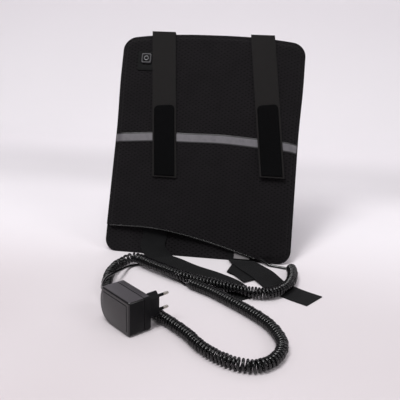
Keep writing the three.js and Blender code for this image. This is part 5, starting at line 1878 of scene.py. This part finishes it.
class HEATINGPAD_OT_lower_straps(bpy.types.Operator):
    """Builds the two lower straps and the folded tail that lies under the right one"""

    bl_idname = "heating_pad.lower_straps"
    bl_label = "Lower straps"

    def levels(self):
        """Heights of the straps' middles where they lie on the floor or on one another."""
        floor = FLOOR_GAP + mm("strap_thickness") / 2
        second = floor + mm("strap_thickness") + mm("clearance")
        third = second + mm("strap_thickness") + 2 * mm("clearance")
        return {1: floor, 1.5: (floor + second) / 2, 2: second, 3: third}

    def stations(self, shares):
        width = mm("strap_width")
        levels = self.levels()
        return [
            (Vector((x * width, y * width, levels[level])), self.direction(turn))
            for x, y, turn, level in shares
        ]

    def direction(self, degrees):
        return Vector((math.cos(math.radians(degrees)), math.sin(math.radians(degrees)), 0))

    def band(self, name, stations, steps, loops, node):
        """A strap through stations of place and width's direction, kept off the back panel and the floor."""
        middles = [point for point, _ in stations]
        edges = [across for _, across in stations]
        upright = floor_to_row().inverted() @ pad_to_row()
        back = upright.inverted()
        pocket = mm("back_thickness") + 2 * mm("clearance") + mm("strap_thickness") / 2
        floor = self.levels()[1]
        points = []
        for k in range(steps + 1):
            local = back @ catmull_rom(middles, k / steps)
            local.z = max(local.z, pocket)
            point = upright @ local
            point.z = max(point.z, floor)
            points.append(point)
        section = band_section(mm("strap_width"), mm("strap_thickness") - 0.1, steps=12)
        built = ribbon(points, lambda k: catmull_rom(edges, k / steps), section)
        strap = mesh_object(name, *built, smooth_angle=50)
        return dress(place(strap, floor_to_row()), loops, replaced=(node,))

    def execute(self, context):
        loops = loop_fabric("brushed_loop_tape", colours().loop)
        upright = floor_to_row().inverted() @ pad_to_row()
        pocket = mm("back_thickness") + 2 * mm("clearance") + mm("strap_thickness") / 2
        width = mm("pad_width")
        for side in ("left", "right"):
            first, second = LOWER_STRAP_MOUTH_SHARES[side]
            root = []
            for x, up, turn, rise in (
                (first[0] * width, LOWER_STRAP_ROOT, 0, 0),
                (first[0] * width, first[1] * width, first[2], 0),
                (second[0] * width, second[1] * width, second[2], MOUTH_RISE[side]),
            ):
                across = (upright.to_3x3() @ self.direction(turn)).normalized()
                root.append((upright @ Vector((x, up, pocket + rise)), across))
            stations = root + self.stations(LOWER_STRAP_SHARES[side])
            self.band(f"loop_strap_{side}", stations, 110, loops, f"lower_strap_{side}")
        self.band("loop_strap_tail", self.stations(FOLDED_TAIL_SHARES), 48, loops, "folded_strap_tail")
        return {"FINISHED"}


# Heating sheet


class HEATINGPAD_OT_heating_sheet(bpy.types.Operator):
    """Gives the heating sheet and leads inside the sleeve their materials"""

    bl_idname = "heating_pad.heating_sheet"
    bl_label = "Heating sheet"

    def execute(self, context):
        lead = silicone("inner_lead_insulation", colours().silicone, 0.45)
        keep_node("heating_carrier", felt_fabric("needled_carrier_fleece", linear(0x3A3838)))
        keep_node("heating_wire", silicone("silicone_wire_insulation", linear(0x8A2A22), 0.4))
        keep_node("thermal_cutout", eroded_plastic("cutout_capsule", linear(0xB9B4AA), 0.4))
        keep_node("inner_lead", lead)
        keep_node("control_lead", lead)
        return {"FINISHED"}


# Adapter

FRONT_EDGE = 0.0
NECK_WIDTH = 13.7
NECK_HEIGHT = 35.3
NECK_LENGTH = 11.5
NECK_CHAMFER = 6.3
SEAM_BEVEL = 0.35
SEAM_BEVEL_DEPTH = 0.4
SATIN_LIT_TOP_DEPTH = 0.3
MATTE_END_WIDTH = 0.6
PLUG_HEIGHT = 30.0
GRIP_RIBS = 22
GRIP_RIB_WIDTH = 1.1
GRIP_RIB_PITCH = 2.2
GRIP_RIB_RISE = 0.4


class HEATINGPAD_OT_adapter(bpy.types.Operator):
    """Builds the plug-in power adapter's shells and gives its pins their materials"""

    bl_idname = "heating_pad.adapter"
    bl_label = "Power adapter"

    def upright(self, obj):
        """Turns a plate built in its outline's plane so that its depth runs from the front to the pins."""
        return place(obj, Matrix.Rotation(math.pi / 2, 4, "X") @ Matrix.Scale(-1, 4, (0, 0, 1)))

    def rounding(self, outline, edge, outwards, steps=8):
        """Rings of an edge's rounding, from the side to the flat; outwards is -1 in front, 1 behind."""
        rings = []
        for angle in quarter(steps):
            inset = ADAPTER_EDGE_ROUND * (1 - math.cos(angle))
            level = edge + outwards * ADAPTER_EDGE_ROUND * math.sin(angle)
            rings.append(at_level(drawn_in(outline, inset), level))
        return rings

    def execute(self, context):
        gloss = polished_plastic("polished_black_plastic", colours().gloss)
        matte = eroded_plastic("spark_eroded_black_plastic", colours().matte)
        # The satin material's lighter colour is a painted reflection of the light above on the top faces.
        satin = eroded_plastic("satin_black_plastic_lit_top", colours().satin, 0.4)
        outline = body_outline()
        bevelled = drawn_in(outline, SEAM_BEVEL)
        front = ADAPTER_FRONT_DEPTH + SHELL_GAP
        depth = front + ADAPTER_REAR_DEPTH

        rings = self.rounding(outline, FRONT_EDGE, -1)
        rings.reverse()
        rings.append(at_level(outline, ADAPTER_FRONT_DEPTH - SEAM_BEVEL_DEPTH))
        rings.append(at_level(bevelled, ADAPTER_FRONT_DEPTH))
        shell = mesh_object("adapter_front_cover", *loft(rings), smooth_angle=35)
        self.upright(shell)
        finishes = [self.finish(face.center) for face in shell.data.polygons]
        dress(place(shell, adapter_to_row()), gloss, replaced=("adapter_front_shell",))
        shell.data.materials.append(matte)
        shell.data.materials.append(satin)
        shell.data.polygons.foreach_set("material_index", finishes)

        panel = mesh_object("adapter_face_panel", *self.face_panel(), smooth_angle=35)
        dress(place(self.upright(panel), adapter_to_row()), gloss)

        rings = [at_level(bevelled, front), at_level(outline, front + SEAM_BEVEL_DEPTH)]
        rings += self.rounding(outline, depth - ADAPTER_EDGE_ROUND, 1)
        neck = rounded_plate(self.neck_at, depth - 2, depth + NECK_LENGTH, 0.4)
        built = joined([loft(rings), neck, self.ribs(front + SEAM_BEVEL_DEPTH, depth - ADAPTER_EDGE_ROUND)])
        shell = mesh_object("adapter_rear_cover", *built, smooth_angle=35)
        self.upright(shell)
        # Top faces get the satin material, painted lighter as a reflection of the light above.
        finishes = [int(face.center.z > ADAPTER_HEIGHT - 0.1) for face in shell.data.polygons]
        dress(place(shell, adapter_to_row()), matte, replaced=("adapter_rear_shell",))
        shell.data.materials.append(satin)
        shell.data.polygons.foreach_set("material_index", finishes)

        metal = plated_metal("nickel_plated_brass", colours().nickel)
        sleeve = silicone("pin_insulation_plastic", colours().silicone, 0.4)
        for end in ("upper", "lower"):
            keep_node(f"plug_pin_{end}", metal)
            keep_node(f"pin_sleeve_{end}", sleeve)
        keep_node("adapter_board", circuit_board("adapter_solder_resist_board", linear(0x24523A)))
        keep_node("adapter_transformer", eroded_plastic("ferrite_and_tape", linear(0x5F5C61)))
        return {"FINISHED"}

    def finish(self, centre):
        """Which of the front shell's finishes a face has: polished, eroded at the right end, satin on top,
        painted lighter there as a reflection of the light above.
        """
        if centre.z > ADAPTER_HEIGHT - SATIN_LIT_TOP_DEPTH:
            return 2
        return int(centre.x > -MATTE_END_WIDTH)

    def face_panel(self):
        """The raised panel on the front; it follows the body's outline within a margin."""
        outline = body_outline(FACE_PANEL_MARGIN, 1.6, 1.6)
        flat = FRONT_EDGE - ADAPTER_EDGE_ROUND
        rings = [at_level(outline, flat + 1.0)]
        for angle in quarter(5):
            inset = FACE_PANEL_RISE * (1 - math.cos(angle))
            rings.append(at_level(drawn_in(outline, inset), flat - FACE_PANEL_RISE * math.sin(angle)))
        return loft(rings)

    def neck_at(self, inset):
        """The outline of the collar that holds the pins, a rectangle with cut corners."""
        half = NECK_HEIGHT / 2
        cut = NECK_CHAMFER
        left, right, low, high = -NECK_WIDTH, 0, PLUG_HEIGHT - half, PLUG_HEIGHT + half
        outline = [
            (left, low + cut), (left + cut, low), (right - cut, low), (right, low + cut),
            (right, high - cut), (right - cut, high), (left + cut, high), (left, high - cut),
        ]
        return drawn_in(outline, inset)

    def ribs(self, start, end):
        """Fine grip ribs across the rear shell's top."""
        pieces = []
        low, high = ADAPTER_HEIGHT - 0.2, ADAPTER_HEIGHT + GRIP_RIB_RISE
        for k in range(GRIP_RIBS):
            x = -ADAPTER_LENGTH / 2 + (k - (GRIP_RIBS - 1) / 2) * GRIP_RIB_PITCH - GRIP_RIB_WIDTH / 2

            def at(inset, x=x):
                return rounded_outline(x, low, x + GRIP_RIB_WIDTH, high, 0.25, min(inset, 0.2), 3)

            pieces.append(rounded_plate(at, start, end, 0.2, steps=2))
        return joined(pieces)


# Panel and main


class HEATINGPAD_PT_panel(bpy.types.Panel):
    """Sizes, colours and build steps of the heating pad"""

    bl_idname = "HEATINGPAD_PT_panel"
    bl_label = "Heating Pad"
    bl_space_type = "VIEW_3D"
    bl_region_type = "UI"
    bl_category = "Heating Pad"

    def draw(self, context):
        layout = self.layout
        for group in (context.scene.heating_pad_sizes, context.scene.heating_pad_colours):
            box = layout.box()
            for name in group.__annotations__:
                box.prop(group, name)
        for operator in OPERATORS:
            layout.operator(operator.bl_idname)


OPERATORS = [
    HEATINGPAD_OT_stage,
    HEATINGPAD_OT_adapter,
    HEATINGPAD_OT_cord,
    HEATINGPAD_OT_sleeve,
    HEATINGPAD_OT_controller,
    HEATINGPAD_OT_upper_straps,
    HEATINGPAD_OT_lower_straps,
    HEATINGPAD_OT_heating_sheet,
]
CLASSES = [HeatingPadSizes, HeatingPadColours, *OPERATORS, HEATINGPAD_PT_panel]


def register():
    for cls in CLASSES:
        bpy.utils.register_class(cls)
    bpy.types.Scene.heating_pad_sizes = PointerProperty(type=HeatingPadSizes)
    bpy.types.Scene.heating_pad_colours = PointerProperty(type=HeatingPadColours)


def unregister():
    del bpy.types.Scene.heating_pad_colours
    del bpy.types.Scene.heating_pad_sizes
    for cls in reversed(CLASSES):
        bpy.utils.unregister_class(cls)


def main():
    register()
    bpy.ops.heating_pad.stage()
    bpy.ops.heating_pad.adapter()
    bpy.ops.heating_pad.cord()
    bpy.ops.heating_pad.sleeve()
    bpy.ops.heating_pad.controller()
    bpy.ops.heating_pad.upper_straps()
    bpy.ops.heating_pad.lower_straps()
    bpy.ops.heating_pad.heating_sheet()


if __name__ == "__main__":
    main()
